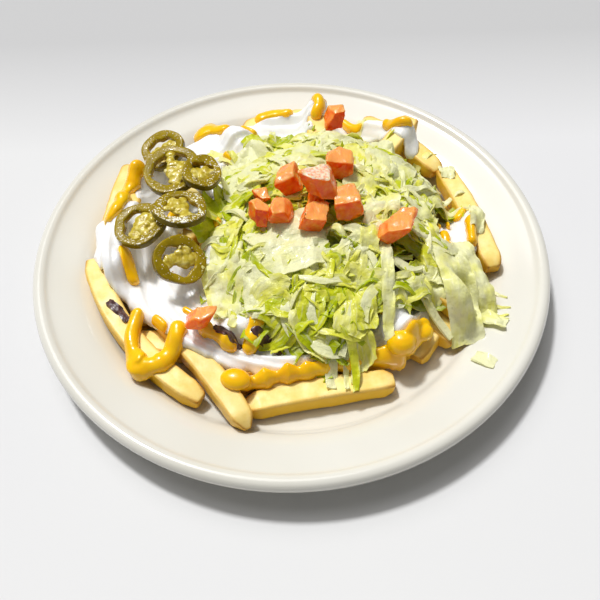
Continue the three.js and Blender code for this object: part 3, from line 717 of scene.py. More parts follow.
def fry_guides(fries):
    """The middle lines of the fries, with the size of the section at each point."""
    random = random_stream(5)
    points, edges, taper, tone, end = [], [], [], [], []
    for fry in fries:
        narrowing = list(FRY_TAPER)
        narrowing[-1] = fry.get("tip", narrowing[-1])
        own_tone = random(0, 1) ** 2
        swell, phase = random(0.01, 0.04), random(0, 6)
        count = max(FEWEST_STEPS, round(fry["length"] / FRY_STEP))
        inner = list(np.linspace(END_ROUNDING / fry["length"], 1 - END_ROUNDING / fry["length"], count))
        near = [share * inner[0] for share in END_STATIONS]
        stations = [*near, *inner, *[1 - t for t in reversed(near)]]
        for k, t in enumerate(stations):
            s = (t - 0.5) * fry["length"]
            size = float(np.interp(t, FRY_STATIONS, narrowing))
            from_end = min(t, 1 - t) * fry["length"]
            rounding = math.sqrt(max(0, 1 - (1 - min(1, from_end / END_ROUNDING)) ** 2))
            full = size * (1 + swell * math.sin(s / SWELL_LENGTH + phase))
            x, y = along_fry(fry, s, 0)
            z = fry["under"] + fry["slope"] * s + FRY_THICKNESS * (1 + size) / 4
            points.append((x, y, z))
            taper.append(full * (END_SIZE + END_SWELL * rounding))
            tone.append(own_tone)
            end.append(max(0, 1 - from_end / BROWNED_LENGTH))
            if k:
                edges.append((len(points) - 2, len(points) - 1))
    return mesh_object("fries", points, edges=edges, values={"taper": taper, "tone": tone, "end": end})


# A fry's surface is uneven about every 6 mm, and it is browned at its ends and along its sharp edges
LUMPS_PER_METRE = 170.0
BROWNED_ENDS = 0.45
EDGE_SHARPNESS = 3.0


def bar_tree():
    """Sweeps a bar with rounded edges along each line of a guide, and makes its surface a little uneven."""
    tree, given = new_tree("cut_bars", Width=0.01, Thickness=0.01, Rounding=0.001, Sides=36,
                           Unevenness=0.0005)
    lines = add_node(tree, "GeometryNodeMeshToCurve", {"Mesh": given["Geometry"]})
    upright = add_node(tree, "GeometryNodeSetCurveNormal", {"Curve": lines}, mode="Z_UP")
    outline = add_node(tree, "GeometryNodeCurvePrimitiveQuadrilateral", {
        "Width": given["Width"], "Height": given["Thickness"]})
    rounded = add_node(tree, "GeometryNodeFilletCurve", {
        "Curve": outline, "Radius": given["Rounding"], "Count": 4}, mode="POLY")
    spaced = add_node(tree, "GeometryNodeResampleCurve", {"Curve": rounded, "Count": given["Sides"]})
    # Across the section, X times Y is a quarter of its area at each corner and nothing halfway along a side
    apart = add_node(tree, "ShaderNodeSeparateXYZ", [add_node(tree, "GeometryNodeInputPosition")])
    product = add_node(tree, "ShaderNodeMath", [apart.outputs["X"], apart.outputs["Y"]],
                       operation="MULTIPLY")
    size = add_node(tree, "ShaderNodeMath", [product], operation="ABSOLUTE")
    area = add_node(tree, "ShaderNodeMath", [given["Width"], given["Thickness"]], operation="MULTIPLY")
    share = add_node(tree, "ShaderNodeMath", [size, area], operation="DIVIDE")
    closeness = add_node(tree, "ShaderNodeMath", [share, 4.0], operation="MULTIPLY")
    marked = add_node(tree, "GeometryNodeStoreNamedAttribute", {
        "Geometry": spaced, "Name": "corner", "Value": closeness})
    taper, corner, end = [add_node(tree, "GeometryNodeInputNamedAttribute", {"Name": name})
                          for name in ("taper", "corner", "end")]
    bars = add_node(tree, "GeometryNodeCurveToMesh", {
        "Curve": upright, "Profile Curve": marked, "Scale": taper, "Fill Caps": True})
    steep = add_node(tree, "ShaderNodeMath", [corner, EDGE_SHARPNESS], operation="POWER")
    brown = add_node(tree, "ShaderNodeMath", [end, BROWNED_ENDS, steep], operation="MULTIPLY_ADD")
    browned = add_node(tree, "GeometryNodeStoreNamedAttribute", {
        "Geometry": bars, "Name": "browned", "Value": brown})
    lumps = add_node(tree, "ShaderNodeTexNoise", {"Scale": LUMPS_PER_METRE, "Detail": 1.5})
    centred = add_node(tree, "ShaderNodeMath", [lumps, 0.5], operation="SUBTRACT")
    amount = add_node(tree, "ShaderNodeMath", [centred, given["Unevenness"]], operation="MULTIPLY")
    normal = add_node(tree, "GeometryNodeInputNormal")
    push = add_node(tree, "ShaderNodeVectorMath", {"Vector": normal, "Scale": amount}, operation="SCALE")
    uneven = add_node(tree, "GeometryNodeSetPosition", {"Geometry": browned, "Offset": push})
    # How far each point faces up, which the potato's painted side shade reads
    upward = add_node(tree, "ShaderNodeSeparateXYZ", [normal]).outputs["Z"]
    faced = add_node(tree, "GeometryNodeStoreNamedAttribute", {
        "Geometry": uneven, "Name": "upward", "Value": upward})
    return end_tree(tree, given, faced)


fries = fry_guides(fry_pile)
grow(fries, bar_tree(), POTATO, Width=FRY_WIDTH * MM, Thickness=FRY_THICKNESS * MM, Rounding=1.0 * MM,
     Sides=40, Unevenness=1.1 * MM)
baked(fries)
serve(fries, "fries_and_sauces", "loaded_fries")


# What sauces and leaves are laid on: heights on a square grid over the plate
GROUND_STEP = 1
GROUND_HALF = 125


def height_caster(objects):
    """A function that gives the highest point of some objects under a place."""
    trees = []
    for thing in objects:
        points = [v.co for v in thing.data.vertices]
        trees.append(BVHTree.FromPolygons(points, [p.vertices for p in thing.data.polygons]))

    def height(x, y):
        best = 0.0
        for tree in trees:
            hit = tree.ray_cast(Vector((x * MM, y * MM, RAY_START)), Vector(DOWN))[0]
            if hit is not None:
                best = max(best, hit.z / MM)
        return best

    return height


def heights_over(objects):
    """Height of the uppermost surface of some objects at each place of the grid."""
    height = height_caster(objects)
    places = range(-GROUND_HALF, GROUND_HALF + 1, GROUND_STEP)
    return np.array([[height(x, y) for x in places] for y in places])


def spread_out(grid, cells, pick):
    """The highest, lowest or mean value, as pick says, of so many cells round each place."""
    for axis in (0, 1):
        margin = [(cells, cells) if a == axis else (0, 0) for a in (0, 1)]
        padded = np.pad(grid, margin, mode="edge")
        windows = np.lib.stride_tricks.sliding_window_view(padded, 2 * cells + 1, axis=axis)
        grid = pick(windows, axis=-1)
    return grid


def bridged(grid, cells):
    """Heights whose gaps are spanned, as a thick sauce spans the gaps between fries."""
    return spread_out(spread_out(grid, cells, np.max), cells, np.min)


def softened(grid, times):
    """Heights with their steps rounded off."""
    for _ in range(times):
        for axis in (0, 1):
            grid = 0.5 * grid + 0.25 * (np.roll(grid, 1, axis) + np.roll(grid, -1, axis))
    return grid


SPAN_SOFTENING = 30
EDGE_SOFTENING = 4
LEAST_COVER = 0.4


def sauce_bed(grid, cells):
    """What a thick sauce rests on: gaps are spanned in soft hollows, and no edge pokes through."""
    spanned = softened(bridged(grid, cells), SPAN_SOFTENING)
    return softened(np.maximum(spanned, grid + LEAST_COVER), EDGE_SOFTENING)


def ground_object(name, grid):
    """The grid of heights as a mesh."""
    count = len(grid)
    places = np.arange(count) * GROUND_STEP - GROUND_HALF
    across, back = np.meshgrid(places, places)
    points = np.stack([across, back, grid], -1).reshape(-1, 3).tolist()
    faces = []
    for j in range(count - 1):
        for i in range(count - 1):
            k = j * count + i
            faces.append((k, k + 1, k + count + 1, k + count))
    return mesh_object(name, points, faces)


def ground_height(tree, given):
    """Inside a geometry tree, the height of its ground object under each point."""
    ground = add_node(tree, "GeometryNodeObjectInfo", {"Object": given["Ground"]}).outputs["Geometry"]
    place = add_node(tree, "GeometryNodeInputPosition")
    above = add_node(tree, "ShaderNodeVectorMath", [place, (0, 0, RAY_START)], operation="ADD")
    hit = add_node(tree, "GeometryNodeRaycast", {
        "Target Geometry": ground, "Source Position": above, "Ray Direction": DOWN,
        "Ray Length": RAY_LENGTH})
    return add_node(tree, "ShaderNodeSeparateXYZ", [hit.outputs["Hit Position"]]).outputs["Z"]


# Sauces: each run is a line of places on the plate. Wide and deep scale it, beads swell it again and again
# along its way, and head swells its start.
CHEESE_RUNS = (
    dict(points=((-76, -42), (-78, -52), (-77, -62)), wide=0.95),
    dict(points=((-73, -69), (-77, -62)), wide=1.15, head=0.4),
    dict(points=((-73, -70), (-64, -68), (-58, -62), (-55, -54)), wide=1.2, beads=0.1),
    dict(points=((-27, -80), (-20, -79), (-10, -77), (4, -75), (16, -72), (30, -70)), beads=0.26, wide=0.86),
    dict(points=((-17, -53), (-21, -64)), beads=0.1),
    dict(points=((-46, -51), (-38, -58), (-30, -63)), beads=0.2, wide=0.8),
    dict(points=((-82, 46), (-84, 40), (-89, 30), (-88, 24), (-93, 14)), beads=0.12, wide=1.1, deep=0.8),
    dict(points=((-84, -9), (-80, -21)), wide=0.8, deep=0.6),
    dict(points=((-66, -47), (-62, -51)), wide=0.6, deep=0.5),
    dict(points=((-52, -43), (-48, -46)), wide=0.5, deep=0.5),
    dict(points=((-40, 12), (-37, 5)), wide=0.7),
    dict(points=((-15, 98), (-8, 100), (0, 99)), wide=1.1, deep=0.75),
    dict(points=((-50, 86), (-44, 87), (-37, 85)), wide=1.25, deep=0.75),
    dict(points=((-25, 80), (-19, 75)), wide=0.55, deep=0.6),
    dict(points=((18, 99), (19, 93), (17, 88)), wide=0.85, deep=0.7),
    dict(points=((34, 96), (38, 91), (42, 88)), wide=0.75, deep=0.7),
    dict(points=((57, 83), (61, 77), (68, 75)), wide=0.65, deep=0.7),
    dict(points=((38, -67), (50, -66)), wide=1.1),
    dict(points=((54, -63), (63, -54)), beads=0.1, wide=0.9),
    dict(points=((79, -1), (79.5, -12)), beads=0.1, wide=0.85),
    dict(points=((77, 11), (77.5, 7)), wide=0.5, deep=0.6),
    dict(points=((83, 10), (83, 7)), wide=0.4, deep=0.6),
    dict(points=((92, 18), (89, 14)), wide=0.6, deep=0.6),
    dict(points=((94, 8), (93, -5)), wide=0.7),
    dict(points=((-34, 58), (-26, 50)), wide=0.6),
    dict(points=((-60, 18), (-62, 12)), wide=0.6),
)
CHEESE_BALLS = (
    dict(x=-27.5, y=-80, half_length=7.5, half_width=5.6, half_height=4.6, heading=-12),
    dict(x=50.5, y=-64.5, half_length=7.2, half_width=6.8, half_height=6.4),
    dict(x=61.5, y=-58, half_length=5.4, half_width=4.8, half_height=4.4),
    dict(x=-19, y=-59, half_length=6.5, half_width=4.2, half_height=3.8, heading=70),
    dict(x=-74, y=-68, half_length=6, half_width=6.5, half_height=3.6),
)
CREAM_RUNS = (
    dict(points=((-97, 14), (-93, -8), (-82, -24), (-66, -42), (-48, -57), (-30, -66), (-12, -69), (6, -67),
                 (24, -63)), deep=1.35, wide=1.15),
    dict(points=((-90, 24), (-85, 0), (-74, -20), (-58, -38), (-40, -51), (-12, -58), (8, -60)), wide=1.05),
    dict(points=((-80, 20), (-75, -2), (-65, -18), (-50, -33), (-30, -45)), wide=1.05),
    dict(points=((-66, 10), (-60, -8), (-52, -20), (-38, -32)), wide=1.1),
    dict(points=((-82, 44), (-74, 28), (-64, 14)), wide=1.3),
    dict(points=((-70, 50), (-62, 34), (-52, 20)), wide=1.3),
    dict(points=((-62, 72), (-40, 80), (-16, 88), (8, 94), (30, 92)), wide=1.3),
    dict(points=((-62, 61), (-38, 69), (-14, 76), (8, 82)), wide=1.25),
    dict(points=((-52, 51), (-30, 58), (-10, 65)), wide=1.25),
    dict(points=((-44, 40), (-26, 46), (-8, 52)), wide=1.3),
    dict(points=((-38, 24), (-36, 6), (-37, -12), (-42, -28)), wide=1.5),
    dict(points=((66, 16), (78, 10), (90, 3), (86, -10), (80, -24)), wide=1.2),
    dict(points=((74, 6), (84, 9), (94, 9)), wide=1.2),
    dict(points=((92, 4), (97, 12)), wide=0.95),
    dict(points=((34, -58), (46, -56), (60, -50)), wide=1.3),
    dict(points=((46, 84), (60, 80), (70, 68)), wide=1.05),
)
SAUCE_STEP = 1.0
BEAD_SPACING = 10
HEAD_LENGTH = 5

# A sauce's edge wanders about every 9 mm, and streaks follow one another out from the plate's middle
WANDERS_PER_METRE = 110.0
STREAK_SPACING = 3.4

# A sauce is sunk this far in a ground whose steps are blurred, and is dropped where it is thinnest
SAUCE_SINK = 2.2
SAUCE_BLUR = 8
SAUCE_SMOOTHING = 14
SHALLOWEST = 0.01 * MM
FIRST_RISE = 1.0 * MM


def sauce_guides(name, runs, width, thickness):
    """Points along the runs of a sauce, each with the half width and the thickness of the sauce there."""
    points, half_width, depth = [], [], []
    random = random_stream(41)
    for run in runs:
        bead_turn = random(0, 6)
        spacing, strength = BEAD_SPACING, 1
        head = run.get("head", 0)
        for k, place in enumerate(smooth_line(run["points"], SAUCE_STEP)):
            bead_turn += 2 * math.pi * SAUCE_STEP / spacing
            if bead_turn > 2 * math.pi:
                bead_turn -= 2 * math.pi
                spacing, strength = BEAD_SPACING * random(0.7, 1.4), random(0.4, 1.5)
            swell = 1 + strength * run.get("beads", 0) * math.cos(bead_turn)
            swell += head * math.exp(-(k * SAUCE_STEP / HEAD_LENGTH) ** 2)
            points.append((place[0], place[1], 0))
            half_width.append(0.5 * width * run.get("wide", 1) * swell * MM)
            depth.append(thickness * run.get("deep", 1) * swell * MM)
    return mesh_object(name, points, values={"half_width": half_width, "depth": depth})


def pour_tree():
    """Pours a sauce on what lies under it: a sheet as deep as the guide says, which follows the ground."""
    tree, given = new_tree("poured", Ground=object, Across=0.25, Steps=501, Wander=0.2, Streaks=0.0,
                           Sink=0.002, Blur=3)
    guide = given["Geometry"]
    grid = add_node(tree, "GeometryNodeMeshGrid", {
        "Size X": given["Across"], "Size Y": given["Across"],
        "Vertices X": given["Steps"], "Vertices Y": given["Steps"]})
    place = add_node(tree, "GeometryNodeInputPosition")
    half_width, depth, poured, bed = [add_node(tree, "GeometryNodeInputNamedAttribute", {"Name": name})
                                      for name in ("half_width", "depth", "poured", "bed")]
    # How far each point is from the run's middle line, as a share of the run's half width there
    nearest = add_node(tree, "GeometryNodeSampleNearest", {"Geometry": guide})
    centre = add_node(tree, "GeometryNodeSampleIndex", {
        "Geometry": guide, "Value": place, "Index": nearest}, data_type="FLOAT_VECTOR")
    half, deep = [add_node(tree, "GeometryNodeSampleIndex", {
        "Geometry": guide, "Value": value, "Index": nearest}) for value in (half_width, depth)]
    away = add_node(tree, "ShaderNodeVectorMath", [place, centre], operation="DISTANCE")
    lumps = add_node(tree, "ShaderNodeTexNoise", {"Scale": WANDERS_PER_METRE, "Detail": 1.0})
    wander = add_node(tree, "ShaderNodeMath", [lumps, 0.5], operation="SUBTRACT")
    widen = add_node(tree, "ShaderNodeMath", [wander, given["Wander"], 1.0], operation="MULTIPLY_ADD")
    reach = add_node(tree, "ShaderNodeMath", [half, widen], operation="MULTIPLY")
    share = add_node(tree, "ShaderNodeMath", [away, reach], operation="DIVIDE")
    # The sauce is a dome across its run, and streaks that run round the plate make it deeper and thinner
    square = add_node(tree, "ShaderNodeMath", [share, share], operation="MULTIPLY")
    left = add_node(tree, "ShaderNodeMath", [1.0, square], operation="SUBTRACT", use_clamp=True)
    dome = add_node(tree, "ShaderNodeMath", [left], operation="SQRT")
    around = add_node(tree, "ShaderNodeVectorMath", [place], operation="NORMALIZE")
    from_middle = add_node(tree, "ShaderNodeVectorMath", [place], operation="LENGTH")
    outward = add_node(tree, "ShaderNodeMath", [from_middle, 1 / (STREAK_SPACING * MM)],
                       operation="MULTIPLY")
    streak = add_node(tree, "ShaderNodeTexNoise", {
        "Vector": around, "W": outward, "Scale": 1.0, "Detail": 1.0}, noise_dimensions="4D")
    centred = add_node(tree, "ShaderNodeMath", [streak, 0.5], operation="SUBTRACT")
    streaked = add_node(tree, "ShaderNodeMath", [centred, given["Streaks"], 1.0], operation="MULTIPLY_ADD")
    at_least = add_node(tree, "ShaderNodeMath", [streaked, 0.0], operation="MAXIMUM")
    domed = add_node(tree, "ShaderNodeMath", [dome, deep], operation="MULTIPLY")
    full_depth = add_node(tree, "ShaderNodeMath", [domed, at_least], operation="MULTIPLY")
    stored = add_node(tree, "GeometryNodeStoreNamedAttribute", {
        "Geometry": grid, "Name": "poured", "Value": full_depth})
    settled = add_node(tree, "GeometryNodeBlurAttribute", {
        "Value": ground_height(tree, given), "Iterations": given["Blur"]})
    based = add_node(tree, "GeometryNodeStoreNamedAttribute", {
        "Geometry": stored, "Name": "bed", "Value": settled})
    none = add_node(tree, "FunctionNodeCompare", {"A": poured, "B": SHALLOWEST}, operation="LESS_EQUAL")
    kept = add_node(tree, "GeometryNodeDeleteGeometry", {"Geometry": based, "Selection": none})
    # What is left of the grid is sunk in the ground, and a second layer rises to the sauce's upper side
    low = add_node(tree, "ShaderNodeMath", [bed, given["Sink"]], operation="SUBTRACT")
    sunk = add_node(tree, "ShaderNodeCombineXYZ", {"Z": low})
    lower = add_node(tree, "GeometryNodeSetPosition", {"Geometry": kept, "Offset": sunk})
    raised = add_node(tree, "GeometryNodeExtrudeMesh", {
        "Mesh": lower, "Offset": (0, 0, 1), "Offset Scale": FIRST_RISE, "Individual": False})
    lift = add_node(tree, "ShaderNodeMath", [poured, given["Sink"]], operation="ADD")
    more = add_node(tree, "ShaderNodeMath", [lift, -FIRST_RISE], operation="ADD")
    rise = add_node(tree, "ShaderNodeCombineXYZ", {"Z": more})
    upper = add_node(tree, "GeometryNodeSetPosition", {
        "Geometry": raised, "Selection": raised.outputs["Top"], "Offset": rise})
    under = add_node(tree, "GeometryNodeFlipFaces", {"Mesh": lower})
    both = add_node(tree, "GeometryNodeJoinGeometry", {"Geometry": upper})
    tree.links.new(under.outputs[0], both.inputs[0])
    closed = add_node(tree, "GeometryNodeMergeByDistance", {"Geometry": both, "Distance": MERGED})
    return end_tree(tree, given, closed)


POUR = pour_tree()


def one_skin(thing, material, voxel, smoothing):
    """Makes overlapping closed lumps one body with a soft surface."""
    flow = thing.modifiers.new("flow", "REMESH")
    flow.mode = "VOXEL"
    flow.voxel_size = voxel * MM
    flow.use_smooth_shade = True
    soften = thing.modifiers.new("soften", "SMOOTH")
    soften.factor = 0.5
    soften.iterations = smoothing
    baked(thing)
    thing.data.materials.clear()
    thing.data.materials.append(material)
    return thing


LUMP_ROWS = 8
LUMP_SIDES = 14


def lump_mesh(name, lumps):
    """Egg-shaped lumps: each is a middle, three half sizes and a matrix."""
    points, faces = [], []
    for middle, sizes, turn in lumps:
        first = len(points)
        for i in range(LUMP_ROWS + 1):
            for j in range(LUMP_SIDES):
                polar, around = math.pi * i / LUMP_ROWS, 2 * math.pi * j / LUMP_SIDES
                out = math.sin(polar)
                ball = (out * math.cos(around), out * math.sin(around), math.cos(polar))
                points.append(tuple(turn @ Vector([b * size for b, size in zip(ball, sizes)]) + middle))
        for i in range(LUMP_ROWS):
            for j in range(LUMP_SIDES):
                a = first + i * LUMP_SIDES + j
                b = first + i * LUMP_SIDES + (j + 1) % LUMP_SIDES
                faces.append((a, a + LUMP_SIDES, b + LUMP_SIDES, b))
    return mesh_object(name, points, faces)


def add_balls(sauce, balls, ground):
    """Joins thick drops to a sauce, each sunk by a quarter in what it lies on."""
    height = height_caster([ground])
    lumps = []
    for ball in balls:
        turn = Matrix.Rotation(math.radians(ball.get("heading", 0)), 3, "Z")
        sizes = (ball["half_length"], ball["half_width"], ball["half_height"])
        middle = Vector((ball["x"], ball["y"], height(ball["x"], ball["y"]) + 0.5 * ball["half_height"]))
        lumps.append((middle, sizes, turn))
    drops = lump_mesh("drops", lumps)
    joined = bmesh.new()
    joined.from_mesh(sauce.data)
    joined.from_mesh(drops.data)
    joined.to_mesh(sauce.data)
    joined.free()
    remove(drops)


def pour(name, runs, material, ground, width, thickness, voxel, wander, streaks=0.0, balls=()):
    """A sauce as one flowing skin, soft at its edges."""
    sauce = sauce_guides(name, runs, width, thickness)
    grow(sauce, POUR, material, Ground=ground, Wander=wander, Streaks=streaks, Blur=SAUCE_BLUR,
         Sink=SAUCE_SINK * MM)
    baked(sauce)
    if balls:
        add_balls(sauce, balls, ground)
    one_skin(sauce, material, voxel, SAUCE_SMOOTHING)
    return serve(sauce, "fries_and_sauces", "loaded_fries")


food = heights_over([plate, fries])
cream_bed = ground_object("cream_bed", sauce_bed(food, cells=6))
cream = pour("sour_cream", CREAM_RUNS, CREAM, cream_bed, width=11, thickness=3.4, voxel=0.6, wander=1.2,
             streaks=3.2)
dressed = np.maximum(food, heights_over([cream]))
cheese_bed = ground_object("cheese_bed", sauce_bed(dressed, cells=5))
cheese = pour("cheese_sauce", CHEESE_RUNS, CHEESE, cheese_bed, width=7.8, thickness=4.8, voxel=0.5,
              wander=0.15, balls=CHEESE_BALLS)
dressed = np.maximum(dressed, heights_over([cheese]))
remove(cream_bed)
remove(cheese_bed)


# Pickled jalapeno slices, one on each CAD slice: how they lean about X and Y, which way the rib and the full
# side point, all in degrees, and how strong the painted glint on the wet face is
PEPPER_SLICES = (
    dict(x=-68, y=57, radius=12.5, lean=(14, -14), rib=20, full=-10, glint=0.2),
    dict(x=-75.5, y=1, radius=13.5, lean=(6, -10), rib=70, full=10, glint=0.7),
    dict(x=-61, y=36, radius=16, lean=(4, -4), rib=100, full=-5, glint=0.4),
    dict(x=-54, y=-24, radius=13, lean=(24, 26), rib=30, full=50, glint=0.1),
    dict(x=-44.5, y=28, radius=11, lean=(2, 10), rib=10, full=-100, glint=0.7),
    dict(x=-54.5, y=4, radius=13.5, lean=(-8, 4), rib=130, full=110, glint=1.3),
)
PEPPER_WALL = 4.9
RING_SIDES = 96
SECTION_SIDES = 28
OUT_OF_ROUND = 0.05
SKIN_INSET = 0.4
SAG = 0.3
INNER_THINNING = 0.5

# The painted glint on a wet face is there all round, and stronger on the side towards the light
WETTEST_SIDE = math.radians(-60)
GLINT_ALL_ROUND = 0.65
GLINT_ONE_SIDE = 0.35

# How square the section of the wall is, and how far up its cut faces begin
SQUARE_OUT = 0.42
SQUARE_UP = 0.36
CUT_FROM = 0.4

# The waves round a slice, outside and inside: how often, how high, and how far each slice shifts them
OUTER_WAVES = ((3, 0.35, 1), (5, 0.25, 2))
INNER_WAVES = ((3, 0.7, 1.7), (7, 0.45, 1))


def ring_section(wall, half):
    """A slice's wall, cut across: flat cut faces, rounded skin outside, soft flesh inside. Each point says
    how far it is skin and how far it is a cut face."""
    section = []
    for k in range(SECTION_SIDES):
        turn = 2 * math.pi * (k + 0.5) / SECTION_SIDES
        c, s = math.cos(turn), math.sin(turn)
        out = math.copysign(abs(c) ** SQUARE_OUT, c)
        up = math.copysign(abs(s) ** SQUARE_UP, s)
        cut = 1 if abs(s) > CUT_FROM else 0
        section.append((-wall / 2 + out * wall / 2, up * half, 1 if out > 0 and not cut else 0, cut))
    return section


def lean_of(spec):
    """How a slice leans, as a matrix."""
    return Euler((math.radians(spec["lean"][0]), math.radians(spec["lean"][1]), 0)).to_matrix()


def wave_height(waves, angle, k):
    """How high the waves round slice k stand at an angle."""
    return sum(height * math.sin(times * angle + shift * k) for times, height, shift in waves)


def make_slice(k, spec):
    """The points and faces of a slice, with how far each point is skin, cut face and painted glint."""
    stretch = 1 + OUT_OF_ROUND * math.sin(k * 2.7)
    turn = lean_of(spec)
    section = ring_section(PEPPER_WALL, PEPPER_THICKNESS / 2)
    points, faces, skin, cut, glint = [], [], [], [], []
    for a in range(RING_SIDES):
        angle = 2 * math.pi * a / RING_SIDES
        wetness = GLINT_ALL_ROUND + GLINT_ONE_SIDE * math.cos(angle - WETTEST_SIDE)
        wobble = wave_height(OUTER_WAVES, angle, k)
        inner_wobble = wave_height(INNER_WAVES, angle, k)
        for r, z, own_skin, own_cut in section:
            deep = -r / PEPPER_WALL
            radius = spec["radius"] - SKIN_INSET + r + wobble * (1 - deep) + inner_wobble * deep
            sag = SAG * math.sin(2 * angle + k) - INNER_THINNING * deep * (1 if z > 0 else -1)
            point = Vector((radius * math.cos(angle) * stretch, radius * math.sin(angle) / stretch, z + sag))
            points.append(turn @ point + Vector((spec["x"], spec["y"], 0)))
            skin.append(own_skin)
            cut.append(own_cut)
            glint.append(spec["glint"] * wetness)
    size = len(section)
    for a in range(RING_SIDES):
        for b in range(size):
            c, d = (a + 1) % RING_SIDES, (b + 1) % size
            faces.append((a * size + b, c * size + b, c * size + d, a * size + d))
    return points, faces, {"skin": skin, "cut": cut, "glint": glint}


def set_down(points, node):
    """Moves points so that their middle height is that of a CAD node."""
    low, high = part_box(node)
    shift = (low.z + high.z) / 2 / MM - (min(p[2] for p in points) + max(p[2] for p in points)) / 2
    return [(p[0], p[1], p[2] + shift) for p in points], shift


# Seeds lie where the membrane faces up, each tilted its own way. The density is more than the spacing takes.
SEED_RADIUS = 1.3
SEED_SPACING = 5
SEED_DENSITY = 60000.0
SEED_SHAPE = (1.0, 0.82, 0.3)
SEED_TILT = 0.6
FACES_UP = 0.45


def seed_tree():
    """Scatters flat seeds over the upper side of a membrane, half sunk in it."""
    tree, given = new_tree("seeds", Density=SEED_DENSITY, Seed=1, Size=SEED_RADIUS * MM)
    up = add_node(tree, "ShaderNodeSeparateXYZ", [add_node(tree, "GeometryNodeInputNormal")]).outputs["Z"]
    facing = add_node(tree, "FunctionNodeCompare", {"A": up, "B": FACES_UP}, operation="GREATER_THAN")
    places = add_node(tree, "GeometryNodeDistributePointsOnFaces", {
        "Mesh": given["Geometry"], "Selection": facing, "Distance Min": SEED_SPACING * MM,
        "Density Max": given["Density"], "Seed": given["Seed"]}, distribute_method="POISSON")
    ball = add_node(tree, "GeometryNodeMeshIcoSphere", {"Radius": given["Size"], "Subdivisions": 3})
    flat = add_node(tree, "GeometryNodeTransform", {"Geometry": ball, "Scale": SEED_SHAPE})
    tilt = add_node(tree, "FunctionNodeRandomValue", {
        "Min": (-SEED_TILT, -SEED_TILT, -3.0), "Max": (SEED_TILT, SEED_TILT, 3.0), "Seed": given["Seed"],
    }, data_type="FLOAT_VECTOR")
    turned = add_node(tree, "FunctionNodeRotateRotation", {
        "Rotation": places.outputs["Rotation"], "Rotate By": tilt}, rotation_space="LOCAL")
    seeds = add_node(tree, "GeometryNodeInstanceOnPoints", {
        "Points": places, "Instance": flat, "Rotation": turned})
    return end_tree(tree, given, seeds)


SEEDS = seed_tree()


def scatter_seeds(name, membrane, seed, node):
    """The seeds of one slice, as a piece of their own."""
    seeds = in_scene(name, membrane.data.copy())
    grow(seeds, SEEDS, SEED, Seed=seed)
    return serve(baked(seeds), "pickled_pepper", node)


RIB_LUMPS = 7
RIB_REACH = 0.95
RIB_IN_WALL = 0.6
LUMP_ACROSS = 2.4
LUMP_UP = 1.3
FULL_SIDE_LUMPS = 10


def seed_rib(name, k, spec, shift):
    """The lumpy membrane of a slice: a rib from wall to wall, and a fuller side where seeds cling."""
    random = random_stream(100 + k)
    turn = lean_of(spec)
    home = Vector((spec["x"], spec["y"], shift))
    rib = Matrix.Rotation(math.radians(spec["rib"]), 3, "Z")
    inner = spec["radius"] - PEPPER_WALL + RIB_IN_WALL
    full = Matrix.Rotation(math.radians(spec["full"]), 3, "Z")
    side = full @ Vector((0.3 * inner, 0, -0.4))
    lumps = [(turn @ side + home, (0.66 * inner, 0.6 * inner, LUMP_UP), turn @ full)]
    for step in np.linspace(-RIB_REACH, RIB_REACH, RIB_LUMPS):
        offset = rib @ Vector((step * inner, random(-1.2, 1.2), random(-0.5, 0.2)))
        sizes = (LUMP_ACROSS, LUMP_ACROSS + random(0, 1.6), LUMP_UP + random(0, 0.4))
        lumps.append((turn @ offset + home, sizes, turn @ rib))
    for _ in range(FULL_SIDE_LUMPS):
        swing = Matrix.Rotation(random(-1.3, 1.3), 3, "Z") @ full
        offset = swing @ Vector((random(0.3, 0.85) * inner, 0, random(-0.4, 0.5)))
        sizes = (random(1.7, 3), random(1.7, 3), random(1.1, 1.7))
        lumps.append((turn @ offset + home, sizes, turn @ swing))
    return one_skin(lump_mesh(name, lumps), MEMBRANE, voxel=0.35, smoothing=4)


peppers = []
for k, spec in enumerate(PEPPER_SLICES):
    node = f"jalapeno_{k + 1}"
    ring_points, ring_faces, ring_marks = make_slice(k, spec)
    ring_points, shift = set_down(ring_points, node)
    ring = mesh_object(f"{node}_ring", ring_points, ring_faces, values=ring_marks)
    ring.data.materials.append(PEPPER)
    ring.data.shade_smooth()
    peppers.append(serve(ring, "pickled_pepper", node))
    membrane = serve(seed_rib(f"{node}_rib", k, spec, shift), "pickled_pepper", node)
    scatter_seeds(f"{node}_seeds", membrane, k, node)


# Diced tomato: the middle of each die, how many planes cut its corners off and how far it is swollen
DICE = (
    dict(x=-43, y=-56, cuts=9, swell=0.85),
    dict(x=27, y=79),
    dict(x=-15.5, y=-3),
    dict(x=-14, y=13),
    dict(x=-3.5, y=-4),
    dict(x=0, y=15),
    dict(x=11.5, y=-9),
    dict(x=14.5, y=6),
    dict(x=26, y=26),
    dict(x=28.5, y=-4),
    dict(x=14, y=3),
    dict(x=51, y=-15, cuts=8, swell=1),
)
CORED_DIE = 10
CUTS = 5
SWELL = 1.1
DIE_LUMP = 4.5 * MM
DIE_UNEVENNESS = 0.9 * MM

# Sides count as skin or as core by how squarely they face the skin's side or the sky
SKIN_FACING = 0.8
CORE_FACING = 0.6
CORE_REACH = 0.42


def cut_block(random, cuts):
    """A block of side 1 with planes cut off its corners."""
    block = bmesh.new()
    bmesh.ops.create_cube(block, size=1)
    for _ in range(cuts):
        toward = Vector((random(-1, 1), random(-1, 1), random(-0.7, 1))).normalized()
        reach = sum(abs(c) for c in toward) / 2
        everything = block.verts[:] + block.edges[:] + block.faces[:]
        place = toward * reach * random(0.55, 0.78)
        cut = bmesh.ops.bisect_plane(
            block, geom=everything, plane_co=place, plane_no=toward, clear_outer=True)
        rim = [part for part in cut["geom_cut"] if isinstance(part, bmesh.types.BMEdge)]
        bmesh.ops.contextual_create(block, geom=rim)
    return block


